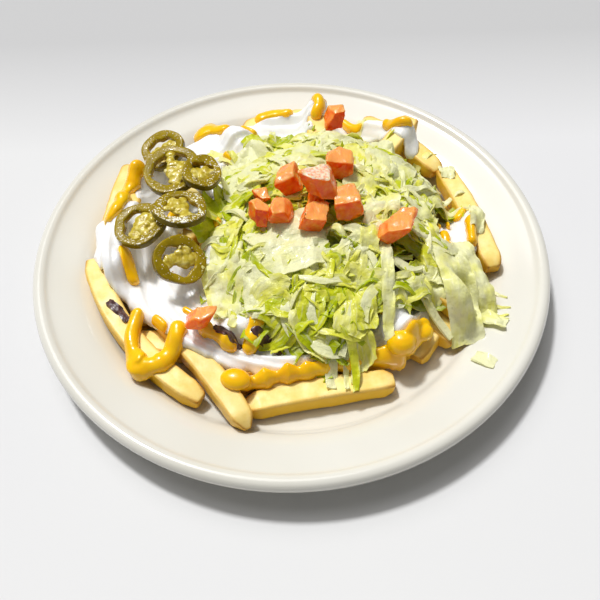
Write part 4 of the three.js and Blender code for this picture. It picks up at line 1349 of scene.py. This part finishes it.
def make_die(k, spec):
    """An uneven block of tomato that fills its CAD node's box; one side of it is skin."""
    random = random_stream(300 + 7 * k)
    node = f"tomato_{k + 1}"
    low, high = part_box(node)
    block = cut_block(random, spec.get("cuts", CUTS))
    slant = [random(-0.4, 0.4) for _ in range(4)]
    for vertex in block.verts:
        x, y, z = vertex.co
        vertex.co = (x + slant[0] * y + slant[1] * z, y + slant[2] * z, z + slant[3] * x)
    lowest = Vector([min(v.co[axis] for v in block.verts) for axis in range(3)])
    highest = Vector([max(v.co[axis] for v in block.verts) for axis in range(3)])
    for vertex in block.verts:
        share = [(vertex.co[axis] - lowest[axis]) / (highest[axis] - lowest[axis]) for axis in range(3)]
        swollen = [0.5 + (part - 0.5) * spec.get("swell", SWELL) for part in share]
        vertex.co = [low[axis] + (high[axis] - low[axis]) * swollen[axis] for axis in range(3)]
    mesh = bpy.data.meshes.new(f"{node}_die")
    block.to_mesh(mesh)
    block.free()
    die = one_skin(in_scene(f"{node}_die", mesh), TOMATO, voxel=0.45, smoothing=7)
    for vertex in die.data.vertices:
        vertex.co += vertex.normal * noise.noise(vertex.co / DIE_LUMP) * DIE_UNEVENNESS
    skin_side = Matrix.Rotation(random(0, 2 * math.pi), 3, "Z") @ Vector((1, 0, -0.1))
    middle = (low + high) / 2
    # The upward value feeds the tomato's painted top light
    marks = {"skin": [], "core": [], "upward": []}
    for vertex in die.data.vertices:
        away = (vertex.co - middle).to_2d().length
        cored = k == CORED_DIE and vertex.normal.z > CORE_FACING and away < CORE_REACH * (high - low).x
        marks["skin"].append(1.0 if vertex.normal.dot(skin_side) > SKIN_FACING else 0.0)
        marks["core"].append(1.0 if cored else 0.0)
        marks["upward"].append(vertex.normal.z)
    store(die.data, marks)
    return serve(die, "diced_tomato", node)


tomatoes = [make_die(k, spec) for k, spec in enumerate(DICE)]


# Leaves and shreds, cut by one tree and laid on a ground. Their sizes are in these units.
SHRED_UNITS = dict(heading=math.radians(1), length=MM, width=MM, bend=MM, lift=MM, cup=MM, roll=1, pitch=1,
                   phase=1, tone=1)

# Along a shred runs from -0.5 to 0.5, so four times its square is 1 at the ends
TO_ENDS = 4.0
BOW_SHIFT = -0.3

# Tears come about every 4 mm and creases every 8 mm. Tears are deepest at the ends, and ruffles stand
# highest along the sides.
TEARS_PER_METRE = 230.0
TORN_SIDES = 0.35
TORN_ENDS = 2.6
CREASES_PER_METRE = 120.0
RUFFLE_ALONG = 430.0
RUFFLE_ACROSS = 5.0
RUFFLED_MIDDLE = 0.25
RUFFLED_SIDES = 6.0


def shred_tree():
    """Cuts a piece of leaf at each point of a guide, bends it, and lays it on the ground."""
    tree, given = new_tree("shreds", Ground=object, Columns=14, Rows=3, Ragged=0.001, Ruffle=0.001,
                           Crumple=0.001, Stiffness=6, Taper=1.2)
    place = add_node(tree, "GeometryNodeInputPosition")
    points = add_node(tree, "GeometryNodeMeshToPoints", {"Mesh": given["Geometry"]})
    anchored = add_node(tree, "GeometryNodeStoreNamedAttribute", {
        "Geometry": points, "Name": "anchor", "Value": place}, data_type="FLOAT_VECTOR")
    flat = add_node(tree, "GeometryNodeMeshGrid", {
        "Size X": 1.0, "Size Y": 1.0, "Vertices X": given["Columns"], "Vertices Y": given["Rows"]})
    apart = add_node(tree, "ShaderNodeSeparateXYZ", [place])
    for name, axis in (("along", "X"), ("across", "Y")):
        flat = add_node(tree, "GeometryNodeStoreNamedAttribute", {
            "Geometry": flat, "Name": name, "Value": apart.outputs[axis]})
    cut = add_node(tree, "GeometryNodeInstanceOnPoints", {"Points": anchored, "Instance": flat})
    real = add_node(tree, "GeometryNodeRealizeInstances", {"Geometry": cut})
    read = {}
    for name in ("along", "across", "bed", *SHRED_UNITS):
        read[name] = add_node(tree, "GeometryNodeInputNamedAttribute", {"Name": name})
    anchor = add_node(tree, "GeometryNodeInputNamedAttribute", {"Name": "anchor"}, data_type="FLOAT_VECTOR")
    along_square, across_square = [
        add_node(tree, "ShaderNodeMath", [read[name], read[name]], operation="MULTIPLY")
        for name in ("along", "across")]
    # The outline: s along and t across in metres, narrower towards the ends, bent and torn
    s = add_node(tree, "ShaderNodeMath", [read["along"], read["length"]], operation="MULTIPLY")
    narrowing = add_node(tree, "ShaderNodeMath", [along_square, given["Taper"]], operation="MULTIPLY")
    narrow = add_node(tree, "ShaderNodeMath", [1.0, narrowing], operation="SUBTRACT")
    wide = add_node(tree, "ShaderNodeMath", [read["width"], narrow], operation="MULTIPLY")
    t = add_node(tree, "ShaderNodeMath", [read["across"], wide], operation="MULTIPLY")
    bow = add_node(tree, "ShaderNodeMath", [along_square, TO_ENDS, BOW_SHIFT], operation="MULTIPLY_ADD")
    bent = add_node(tree, "ShaderNodeMath", [bow, read["bend"], t], operation="MULTIPLY_ADD")
    flat_place = add_node(tree, "ShaderNodeCombineXYZ", {"X": s, "Y": bent})
    own_place = add_node(tree, "ShaderNodeCombineXYZ", {"X": s, "Y": t, "Z": read["phase"]})
    tear = add_node(tree, "ShaderNodeTexNoise", {
        "Vector": own_place, "Scale": TEARS_PER_METRE, "Detail": 2.0}).outputs["Color"]
    tear_centred = add_node(tree, "ShaderNodeVectorMath", [tear, (0.5, 0.5, 0.5)], operation="SUBTRACT")
    tear_flat = add_node(tree, "ShaderNodeVectorMath", [tear_centred, (1, 1, 0)], operation="MULTIPLY")
    at_ends = add_node(tree, "ShaderNodeMath", [along_square, TORN_ENDS, TORN_SIDES],
                       operation="MULTIPLY_ADD")
    torn_by = add_node(tree, "ShaderNodeMath", [at_ends, given["Ragged"]], operation="MULTIPLY")
    ragged = add_node(tree, "ShaderNodeVectorMath", {"Vector": tear_flat, "Scale": torn_by},
                      operation="SCALE")
    torn = add_node(tree, "ShaderNodeVectorMath", [flat_place, ragged], operation="ADD")
    turned = add_node(tree, "ShaderNodeVectorRotate", {"Vector": torn, "Angle": read["heading"]},
                      rotation_type="Z_AXIS")
    spread = add_node(tree, "ShaderNodeVectorMath", [turned, anchor], operation="ADD")
    veined = add_node(tree, "GeometryNodeStoreNamedAttribute", {
        "Geometry": real, "Name": "leaf_place", "Value": own_place}, data_type="FLOAT_VECTOR")
    laid_flat = add_node(tree, "GeometryNodeSetPosition", {"Geometry": veined, "Position": spread})
    # The height: what lies under the shred, as far as it is limp, then its arch, roll, pitch, ruffle and cup
    bedded = add_node(tree, "GeometryNodeStoreNamedAttribute", {
        "Geometry": laid_flat, "Name": "bed", "Value": ground_height(tree, given)})
    settled = add_node(tree, "GeometryNodeBlurAttribute", {
        "Value": read["bed"], "Iterations": given["Stiffness"]})
    arch = add_node(tree, "ShaderNodeMath", [along_square, -TO_ENDS, 1.0], operation="MULTIPLY_ADD")
    lifted = add_node(tree, "ShaderNodeMath", [arch, read["lift"], settled], operation="MULTIPLY_ADD")
    rolled = add_node(tree, "ShaderNodeMath", [t, read["roll"], lifted], operation="MULTIPLY_ADD")
    pitched = add_node(tree, "ShaderNodeMath", [s, read["pitch"], rolled], operation="MULTIPLY_ADD")
    wave_place = add_node(tree, "ShaderNodeMath", [s, RUFFLE_ALONG, read["phase"]], operation="MULTIPLY_ADD")
    wave_turn = add_node(tree, "ShaderNodeMath", [read["across"], RUFFLE_ACROSS, wave_place],
                         operation="MULTIPLY_ADD")
    wave = add_node(tree, "ShaderNodeMath", [wave_turn], operation="SINE")
    at_sides = add_node(tree, "ShaderNodeMath", [across_square, RUFFLED_SIDES, RUFFLED_MIDDLE],
                        operation="MULTIPLY_ADD")
    ruffle = add_node(tree, "ShaderNodeMath", [at_sides, given["Ruffle"]], operation="MULTIPLY")
    waved = add_node(tree, "ShaderNodeMath", [wave, ruffle, pitched], operation="MULTIPLY_ADD")
    curled = add_node(tree, "ShaderNodeMath", [across_square, read["cup"], waved], operation="MULTIPLY_ADD")
    crease = add_node(tree, "ShaderNodeTexNoise", {
        "Vector": own_place, "Scale": CREASES_PER_METRE, "Detail": 2.0})
    creased = add_node(tree, "ShaderNodeMath", [crease, 0.5], operation="SUBTRACT")
    height = add_node(tree, "ShaderNodeMath", [creased, given["Crumple"], curled], operation="MULTIPLY_ADD")
    draped = add_node(tree, "GeometryNodeSetPosition", {
        "Geometry": bedded, "Offset": add_node(tree, "ShaderNodeCombineXYZ", {"Z": height})})
    return end_tree(tree, given, draped)


SHREDS = shred_tree()
SHARPEST = math.radians(38)


def cut_shreds(name, shreds, ground, material, thickness, **values):
    """One kind of shred, laid on a ground. Each shred is a place with its sizes in millimetres."""
    sizes = {}
    for label, unit in SHRED_UNITS.items():
        sizes[label] = [shred.get(label, 0) * unit for shred in shreds]
    guide = mesh_object(name, [(s["x"], s["y"], 0) for s in shreds], values=sizes)
    grow(guide, SHREDS, material, Ground=ground, **values)
    skin = guide.modifiers.new("thickness", "SOLIDIFY")
    skin.thickness = thickness * MM
    skin.offset = 0
    baked(guide)
    guide.data.set_sharp_from_angle(angle=SHARPEST)
    return guide


# Shreds of beef, on the fries and sauces
BEEF_SHREDS = (
    dict(x=-88, y=-36, heading=-40, length=10, width=4),
    dict(x=-83, y=-41, heading=-55, length=8, width=4.5),
    dict(x=-34, y=-58, heading=-30, length=9, width=4),
    dict(x=-29, y=-61, heading=-50, length=7, width=4),
    dict(x=-14, y=-61, heading=-10, length=11, width=5),
    dict(x=-9, y=-64, heading=-30, length=8, width=4),
    dict(x=-28, y=-45, heading=-20, length=10, width=5),
    dict(x=-22, y=-48, heading=15, length=7, width=4),
    dict(x=84, y=-14, heading=-66, length=15, width=4),
    dict(x=86, y=-26, heading=-60, length=15, width=5),
    # These last four lie under the lettuce's dark gaps: beef, and also dark pieces put there as painted
    # shade for the gaps
    dict(x=20, y=-19, heading=20, length=16, width=9),
    dict(x=59, y=-22, heading=-20, length=15, width=9),
    dict(x=48, y=-34, heading=10, length=15, width=9),
    dict(x=-9, y=-28, heading=60, length=12, width=7),
)
food_ground = ground_object("food_ground", spread_out(dressed, 1, np.mean))
beef_laid = [{**shred, "phase": k, "lift": 0.8, "roll": 0.25 * (-1) ** k}
             for k, shred in enumerate(BEEF_SHREDS)]
beef = cut_shreds("beef_shreds", beef_laid, food_ground, BEEF, thickness=1.3, Columns=18, Rows=10,
                  Ragged=5 * MM, Ruffle=0.3 * MM, Crumple=3 * MM, Stiffness=3, Taper=0.8)
serve(beef, "fries_and_sauces", "loaded_fries")
remove(food_ground)

# Lettuce: the heap's upper side, which the shreds follow
HEAP_ROUNDNESS = 2.6
HUMP_HEIGHT = 1.6
HUMP_LENGTHS = (7.5, 6.5)
RIDGE_HEIGHT = 1.2
RIDGE_LENGTH = 11
FALL_START = 0.93
FALL_LENGTH = 0.14
HEAP_CLEARANCE = 0.5
food_under = np.maximum(dressed, heights_over(peppers + tomatoes[:2]))


def heap_heights():
    """The heap's upper side, which reaches over its edge down to what lies there."""
    places = np.arange(-GROUND_HALF, GROUND_HALF + 1, GROUND_STEP)
    x, y = np.meshgrid(places, places)
    share = lettuce_share(x, y)
    dome = LETTUCE_EDGE + (LETTUCE_TOP - LETTUCE_EDGE) * (1 - np.minimum(1, share) ** HEAP_ROUNDNESS)
    uneven = HUMP_HEIGHT * np.sin(x / HUMP_LENGTHS[0] + 1) * np.cos(y / HUMP_LENGTHS[1])
    uneven = uneven + RIDGE_HEIGHT * np.sin((x + y) / RIDGE_LENGTH)
    fallen = np.clip((share - FALL_START) / FALL_LENGTH, 0, 1)
    return np.maximum((dome + uneven) * (1 - fallen), bridged(food_under, 2) + HEAP_CLEARANCE)


heap = ground_object("heap", heap_heights())

# Round places that shreds leave clear, as x, y and radius: sauce, peppers, tomato and dark gaps
SAUCE_CLEAR = [(50, -64, 10), (61, -58, 9), (40, -60, 7), (80, -3, 6), (92, 2, 5), (-8, -74, 7), (83, 8, 6)]
PEPPERS_CLEAR = SAUCE_CLEAR + [(spec["x"], spec["y"], spec["radius"] - 4) for spec in PEPPER_SLICES]
KEPT_CLEAR = SAUCE_CLEAR + [(spec["x"], spec["y"], spec["radius"] + 1) for spec in PEPPER_SLICES]
KEPT_CLEAR += [(spec["x"], spec["y"], 7) for spec in DICE]
DARK_GAPS = [(20, -18.5, 1.8), (59, -21.5, 2), (48, -33, 1.8), (-10.5, -30, 1.2), (86, -26, 1.2)]
WIDTH_COUNTED = 0.3

# What is drawn at random for each shred, in the order of drawing
SHRED_LIMITS = dict(heading=(0, 360), bend=(-5, 5), phase=(0, 9), roll=(-0.45, 0.45), pitch=(-0.15, 0.15))
SCATTER = 3
TRIES = 5

# Painted shade: the lettuce is greener down the heap's front, which faces away from the light
HEAP_SIDE = 15
FRONT_LENGTH = 30
GREENER_FRONT = 0.45


def clear(shred, spots):
    """Whether a shred leaves round spots uncovered, such as those of the peppers and the tomato."""
    heading = math.radians(shred["heading"])
    margin = WIDTH_COUNTED * shred["width"]
    for step in (-0.5, -0.25, 0, 0.25, 0.5):
        x = shred["x"] + step * shred["length"] * math.cos(heading)
        y = shred["y"] + step * shred["length"] * math.sin(heading)
        if any(math.hypot(x - spot[0], y - spot[1]) < spot[2] + margin for spot in spots):
            return False
    return True


def bridges(shred, gap):
    """Whether a shred lies over a gap between shreds, by its distance from the shred's middle line."""
    away_x = gap[0] - shred["x"]
    away_y = gap[1] - shred["y"]
    heading = math.radians(shred["heading"])
    along = abs(away_x * math.cos(heading) + away_y * math.sin(heading)) - shred["length"] / 2
    beside = abs(away_y * math.cos(heading) - away_x * math.sin(heading)) - shred["width"] / 2
    return max(along, beside) < gap[2]


def scattered(count, seed, reach, tone, spots=KEPT_CLEAR, greener=GREENER_FRONT, **sizes):
    """Places spread evenly over the heap, with random sizes between the limits. A place is tried again when
    something would be covered, and given up after the last try."""
    random = random_stream(seed)
    drawn = {**SHRED_LIMITS, "tone": tone, **sizes}
    shreds = []
    for k in range(count):
        out = math.sqrt((k + 0.5) / count) * reach
        turn = k * GOLDEN_ANGLE + seed
        x = LETTUCE_CENTRE[0] + LETTUCE_REACH[0] * out * math.cos(turn)
        y = LETTUCE_CENTRE[1] + LETTUCE_REACH[1] * out * math.sin(turn)
        front = max(0, min(1, (-y - HEAP_SIDE) / FRONT_LENGTH))
        for _ in range(TRIES):
            shred = dict(x=x + random(-SCATTER, SCATTER), y=y + random(-SCATTER, SCATTER))
            for label, limits in drawn.items():
                shred[label] = random(*limits)
            # Painted shade: shreds down the front are given a greener tone
            shred["tone"] += greener * front
            if clear(shred, spots):
                shreds.append(shred)
                break
    return [shred for shred in shreds if not any(bridges(shred, gap) for gap in DARK_GAPS)]


# The larger leaves, each where the diner sees it
PLACED_LEAVES = (
    dict(x=-1.5, y=-20, heading=12, length=38, width=34, lift=4, tone=-0.05, pitch=0.05),
    dict(x=-31, y=-32, heading=-84, length=40, width=19, lift=3, tone=0.15),
    dict(x=-18, y=-39, heading=-86, length=32, width=11, lift=3, tone=-0.1),
    dict(x=12, y=-31, heading=30, length=20, width=12, lift=0, tone=1.0, roll=0.5),
    dict(x=38, y=-19, heading=88, length=16, width=10, lift=5, tone=0.3),
    dict(x=62, y=-13, heading=-24, length=30, width=14, lift=0, tone=0.85, roll=0.4),
    dict(x=71, y=-33, heading=4, length=20, width=9, lift=3, tone=0.1),
    dict(x=66, y=-40, heading=14, length=26, width=11, lift=2, tone=0.15),
    dict(x=88, y=50, heading=90, length=12, width=9, lift=1, tone=0.0),
    dict(x=-5, y=70, heading=62, length=20, width=12, lift=3, tone=0.85),
    dict(x=-16, y=63, heading=12, length=18, width=10, lift=2, tone=0.75),
    dict(x=13, y=66, heading=0, length=13, width=8, lift=3, tone=0.15),
    dict(x=55, y=40, heading=78, length=34, width=28, lift=4, tone=0.1),
    dict(x=59, y=16, heading=-30, length=28, width=11, lift=2, tone=0.8),
    dict(x=37, y=19, heading=72, length=26, width=18, lift=3, tone=0.3),
    dict(x=-24, y=41, heading=70, length=30, width=24, lift=3, tone=0.05),
    dict(x=-28, y=17, heading=24, length=26, width=11, lift=1, tone=0.7),
    dict(x=28, y=61, heading=10, length=34, width=18, lift=3, tone=0.0),
    dict(x=6, y=43, heading=-20, length=32, width=20, lift=4, tone=0.1),
    dict(x=63, y=0, heading=-60, length=28, width=18, lift=3, tone=0.1),
    dict(x=46, y=60, heading=120, length=30, width=22, lift=3, tone=0.1),
    dict(x=8, y=-52, heading=-100, length=24, width=14, lift=2, tone=0.7),
    dict(x=32, y=-50, heading=-80, length=24, width=14, lift=2, tone=0.6),
    dict(x=-15, y=-2, heading=30, length=18, width=13, lift=1, tone=0.5),
    dict(x=0, y=15, heading=-20, length=16, width=13, lift=1, tone=0.3),
)
LONG_LEAVES = (
    dict(x=81, y=-37, heading=-79, length=44, width=20, lift=10.5, tone=0.08),
    dict(x=91, y=-26, heading=-72, length=42, width=13, lift=6.5, tone=0.12),
    dict(x=95, y=-45, heading=-33, length=22, width=8, lift=3, tone=0.05),
    dict(x=98, y=12, heading=80, length=20, width=9, lift=2, tone=0.05),
    dict(x=-38, y=-37, heading=-74, length=30, width=8, lift=2, tone=0.3),
    dict(x=45, y=-39, heading=-91, length=50, width=6, lift=5, tone=0.15),
)
HANGING_STRIPS = (
    dict(x=17, y=-73, heading=-92, length=21, width=6, tone=-0.15),
    dict(x=24, y=-72, heading=-91, length=24, width=2.5, tone=0.1),
    dict(x=28, y=-72, heading=-97, length=18, width=2.5, tone=0.1),
    dict(x=-9, y=44, heading=-61, length=27, width=4, tone=0.0, lift=4, pitch=0.2),
    dict(x=-8, y=72, heading=-84, length=18, width=3, tone=0.1, lift=3, pitch=-0.3),
    dict(x=103, y=-30, heading=-37, length=12, width=2, tone=0.2),
    dict(x=102, y=-39, heading=-10, length=12, width=2, tone=0.2),
    dict(x=99, y=-45, heading=5, length=14, width=2.4, tone=0.2),
    dict(x=-25, y=-46, heading=-112, length=24, width=5, tone=0.2),
    dict(x=-34, y=56, heading=140, length=26, width=5, tone=0.3),
    dict(x=39, y=83, heading=62, length=24, width=6, tone=0.2),
    dict(x=74, y=60, heading=40, length=26, width=6, tone=0.2),
)


def lettuce(name, shreds, **values):
    """One kind of shred of the heap, as a piece of its own."""
    return serve(cut_shreds(name, shreds, heap, LEAF, **values), "shredded_lettuce", "lettuce")


# The inner shreds lie in the heap's depth; their deeper green tone is painted shade for that depth
inner_shreds = scattered(count=200, seed=3, reach=0.92, spots=PEPPERS_CLEAR, tone=(0.6, 1.2),
                         length=(20, 40), width=(6, 15), lift=(-7, -2), cup=(-4, 4))
lettuce("lettuce_inner", inner_shreds, thickness=0.5, Columns=14, Rows=6, Ragged=3 * MM, Ruffle=1.2 * MM,
        Crumple=7 * MM, Stiffness=5)
thin_shreds = scattered(count=260, seed=8, reach=0.95, tone=(-0.3, 0.75), length=(14, 34), width=(1.6, 4.5),
                        lift=(-1, 4), cup=(-1, 1))
lettuce("lettuce_shreds", [*thin_shreds, *HANGING_STRIPS], thickness=0.5, Columns=20, Rows=4,
        Ragged=1.8 * MM, Ruffle=0.5 * MM, Crumple=6 * MM, Stiffness=5)
rib_shreds = scattered(count=60, seed=21, reach=0.97, tone=(-0.35, 0.0), greener=0.15, length=(10, 30),
                       width=(3, 5.5), lift=(0, 3), cup=(-0.5, 0.5))
lettuce("lettuce_ribs", rib_shreds, thickness=1.3, Columns=10, Rows=4, Ragged=0.8 * MM, Ruffle=0.3 * MM,
        Crumple=2 * MM, Stiffness=8, Taper=0.6)
torn_leaves = scattered(count=120, seed=55, reach=0.93, tone=(-0.25, 0.5), length=(14, 30), width=(8, 20),
                        lift=(-2, 3), cup=(-4, 4))
lettuce("lettuce_leaves", [*torn_leaves, *PLACED_LEAVES], thickness=0.45, Columns=26, Rows=17,
        Ragged=6 * MM, Ruffle=0.8 * MM, Crumple=8 * MM, Stiffness=5, Taper=1.0)
lettuce("lettuce_long", LONG_LEAVES, thickness=0.45, Columns=44, Rows=17, Ragged=4 * MM, Ruffle=0.7 * MM,
        Crumple=5 * MM, Stiffness=5, Taper=1.0)
small_bits = scattered(count=90, seed=77, reach=0.95, tone=(-0.2, 0.5), length=(5, 11), width=(3, 6),
                       lift=(0, 3), cup=(-2, 2))
lettuce("lettuce_bits", small_bits, thickness=0.5, Columns=9, Rows=7, Ragged=3.5 * MM, Ruffle=0.7 * MM,
        Crumple=5 * MM, Stiffness=2, Taper=0.8)
remove(heap)

# One shred on the rim of the plate
low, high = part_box("lettuce_scrap")
scrap_place = (low + high) / 2 / MM
FALLEN = dict(x=scrap_place.x, y=scrap_place.y, heading=-38, length=10.5, width=7, cup=2, lift=0.8,
              tone=-0.2)
scrap = cut_shreds("fallen_shred", [FALLEN], plate, LEAF, thickness=0.9, Columns=16, Rows=12,
                   Ragged=3 * MM, Ruffle=0.3 * MM, Crumple=2 * MM, Stiffness=2, Taper=0.5)
serve(scrap, "shredded_lettuce", "lettuce_scrap")

# Studio: a plain pale table, light from high up behind on the left, and a pale room
TABLE_HALF = 3000
# Painted shade: the table darkens between these places, in metres along Y behind the plate
DIMMER_FROM = 0.1
DIMMEST_AT = 0.21


def matt_table(tree):
    """A matt pale grey table top, with painted shade that makes it a little darker behind the plate."""
    near = add_node(tree, "ShaderNodeValToRGB", {"Fac": pattern(tree, 400)},
                    stops=[(0.3, "#D8D8DA"), (0.7, "#DBDBDB")])
    place = add_node(tree, "ShaderNodeTexCoord").outputs["Object"]
    depth = add_node(tree, "ShaderNodeSeparateXYZ", [place]).outputs["Y"]
    behind = add_node(tree, "ShaderNodeMapRange", {
        "Value": depth, "From Min": DIMMER_FROM, "From Max": DIMMEST_AT})
    colour = add_node(tree, "ShaderNodeMix", {"Factor": behind, "A": near, "B": "#BDBDBE"}, data_type="RGBA")
    return add_node(tree, "ShaderNodeBsdfPrincipled", {"Base Color": colour, "Roughness": 0.75})


table_corners = [(x * TABLE_HALF, y * TABLE_HALF, 0) for x, y in ((-1, -1), (1, -1), (1, 1), (-1, 1))]
table = mesh_object("table", table_corners, [(0, 1, 2, 3)])
table.data.materials.append(material_of(matt_table))

LIGHT_DIRECTION = Vector((-0.29, 0.36, 1.0)).normalized()


def add_sun(name, width, strength):
    """A distant round lamp, so wide in degrees, that lights table and plate evenly."""
    data = bpy.data.lights.new(name, "SUN")
    data.angle = math.radians(width)
    data.energy = strength
    in_scene(name, data).rotation_euler = LIGHT_DIRECTION.to_track_quat("Z", "Y").to_euler()


# One lamp gives the shadows a firm edge, and one blurs them
add_sun("key", width=7, strength=2.54)
add_sun("softbox", width=43, strength=0.98)

# The room is dim where it lights the plate, and pale where it is seen past the table
world = bpy.data.worlds.new("pale_room")
world.use_nodes = True
room = world.node_tree
room.nodes.clear()
seen = add_node(room, "ShaderNodeLightPath").outputs["Is Camera Ray"]
brightness = add_node(room, "ShaderNodeMapRange", {"Value": seen, "To Min": 0.2, "To Max": 0.82})
walls = add_node(room, "ShaderNodeBackground", {"Color": "#FFFEFA", "Strength": brightness})
add_node(room, "ShaderNodeOutputWorld", {"Surface": walls})
bpy.context.scene.world = world
bpy.context.scene.view_settings.view_transform = "Standard"

# The camera stands where the photographer stood
CAMERA_PLACE = (0, -268.66, 343.12)
CAMERA_RIGHT = (0.999428, -0.031671, -0.011855)
CAMERA_UP = (0.032573, 0.807347, 0.589177)
CAMERA_AHEAD = (0.009089, 0.589226, -0.807917)
camera_data = bpy.data.cameras.new("camera")
camera_data.lens = 48
camera_data.sensor_width = 36
camera = in_scene("camera", camera_data)
axes = Matrix((CAMERA_RIGHT, CAMERA_UP, [-c for c in CAMERA_AHEAD])).transposed()
camera.matrix_world = Matrix.Translation(Vector(CAMERA_PLACE) * MM) @ axes.to_4x4()
bpy.context.scene.camera = camera
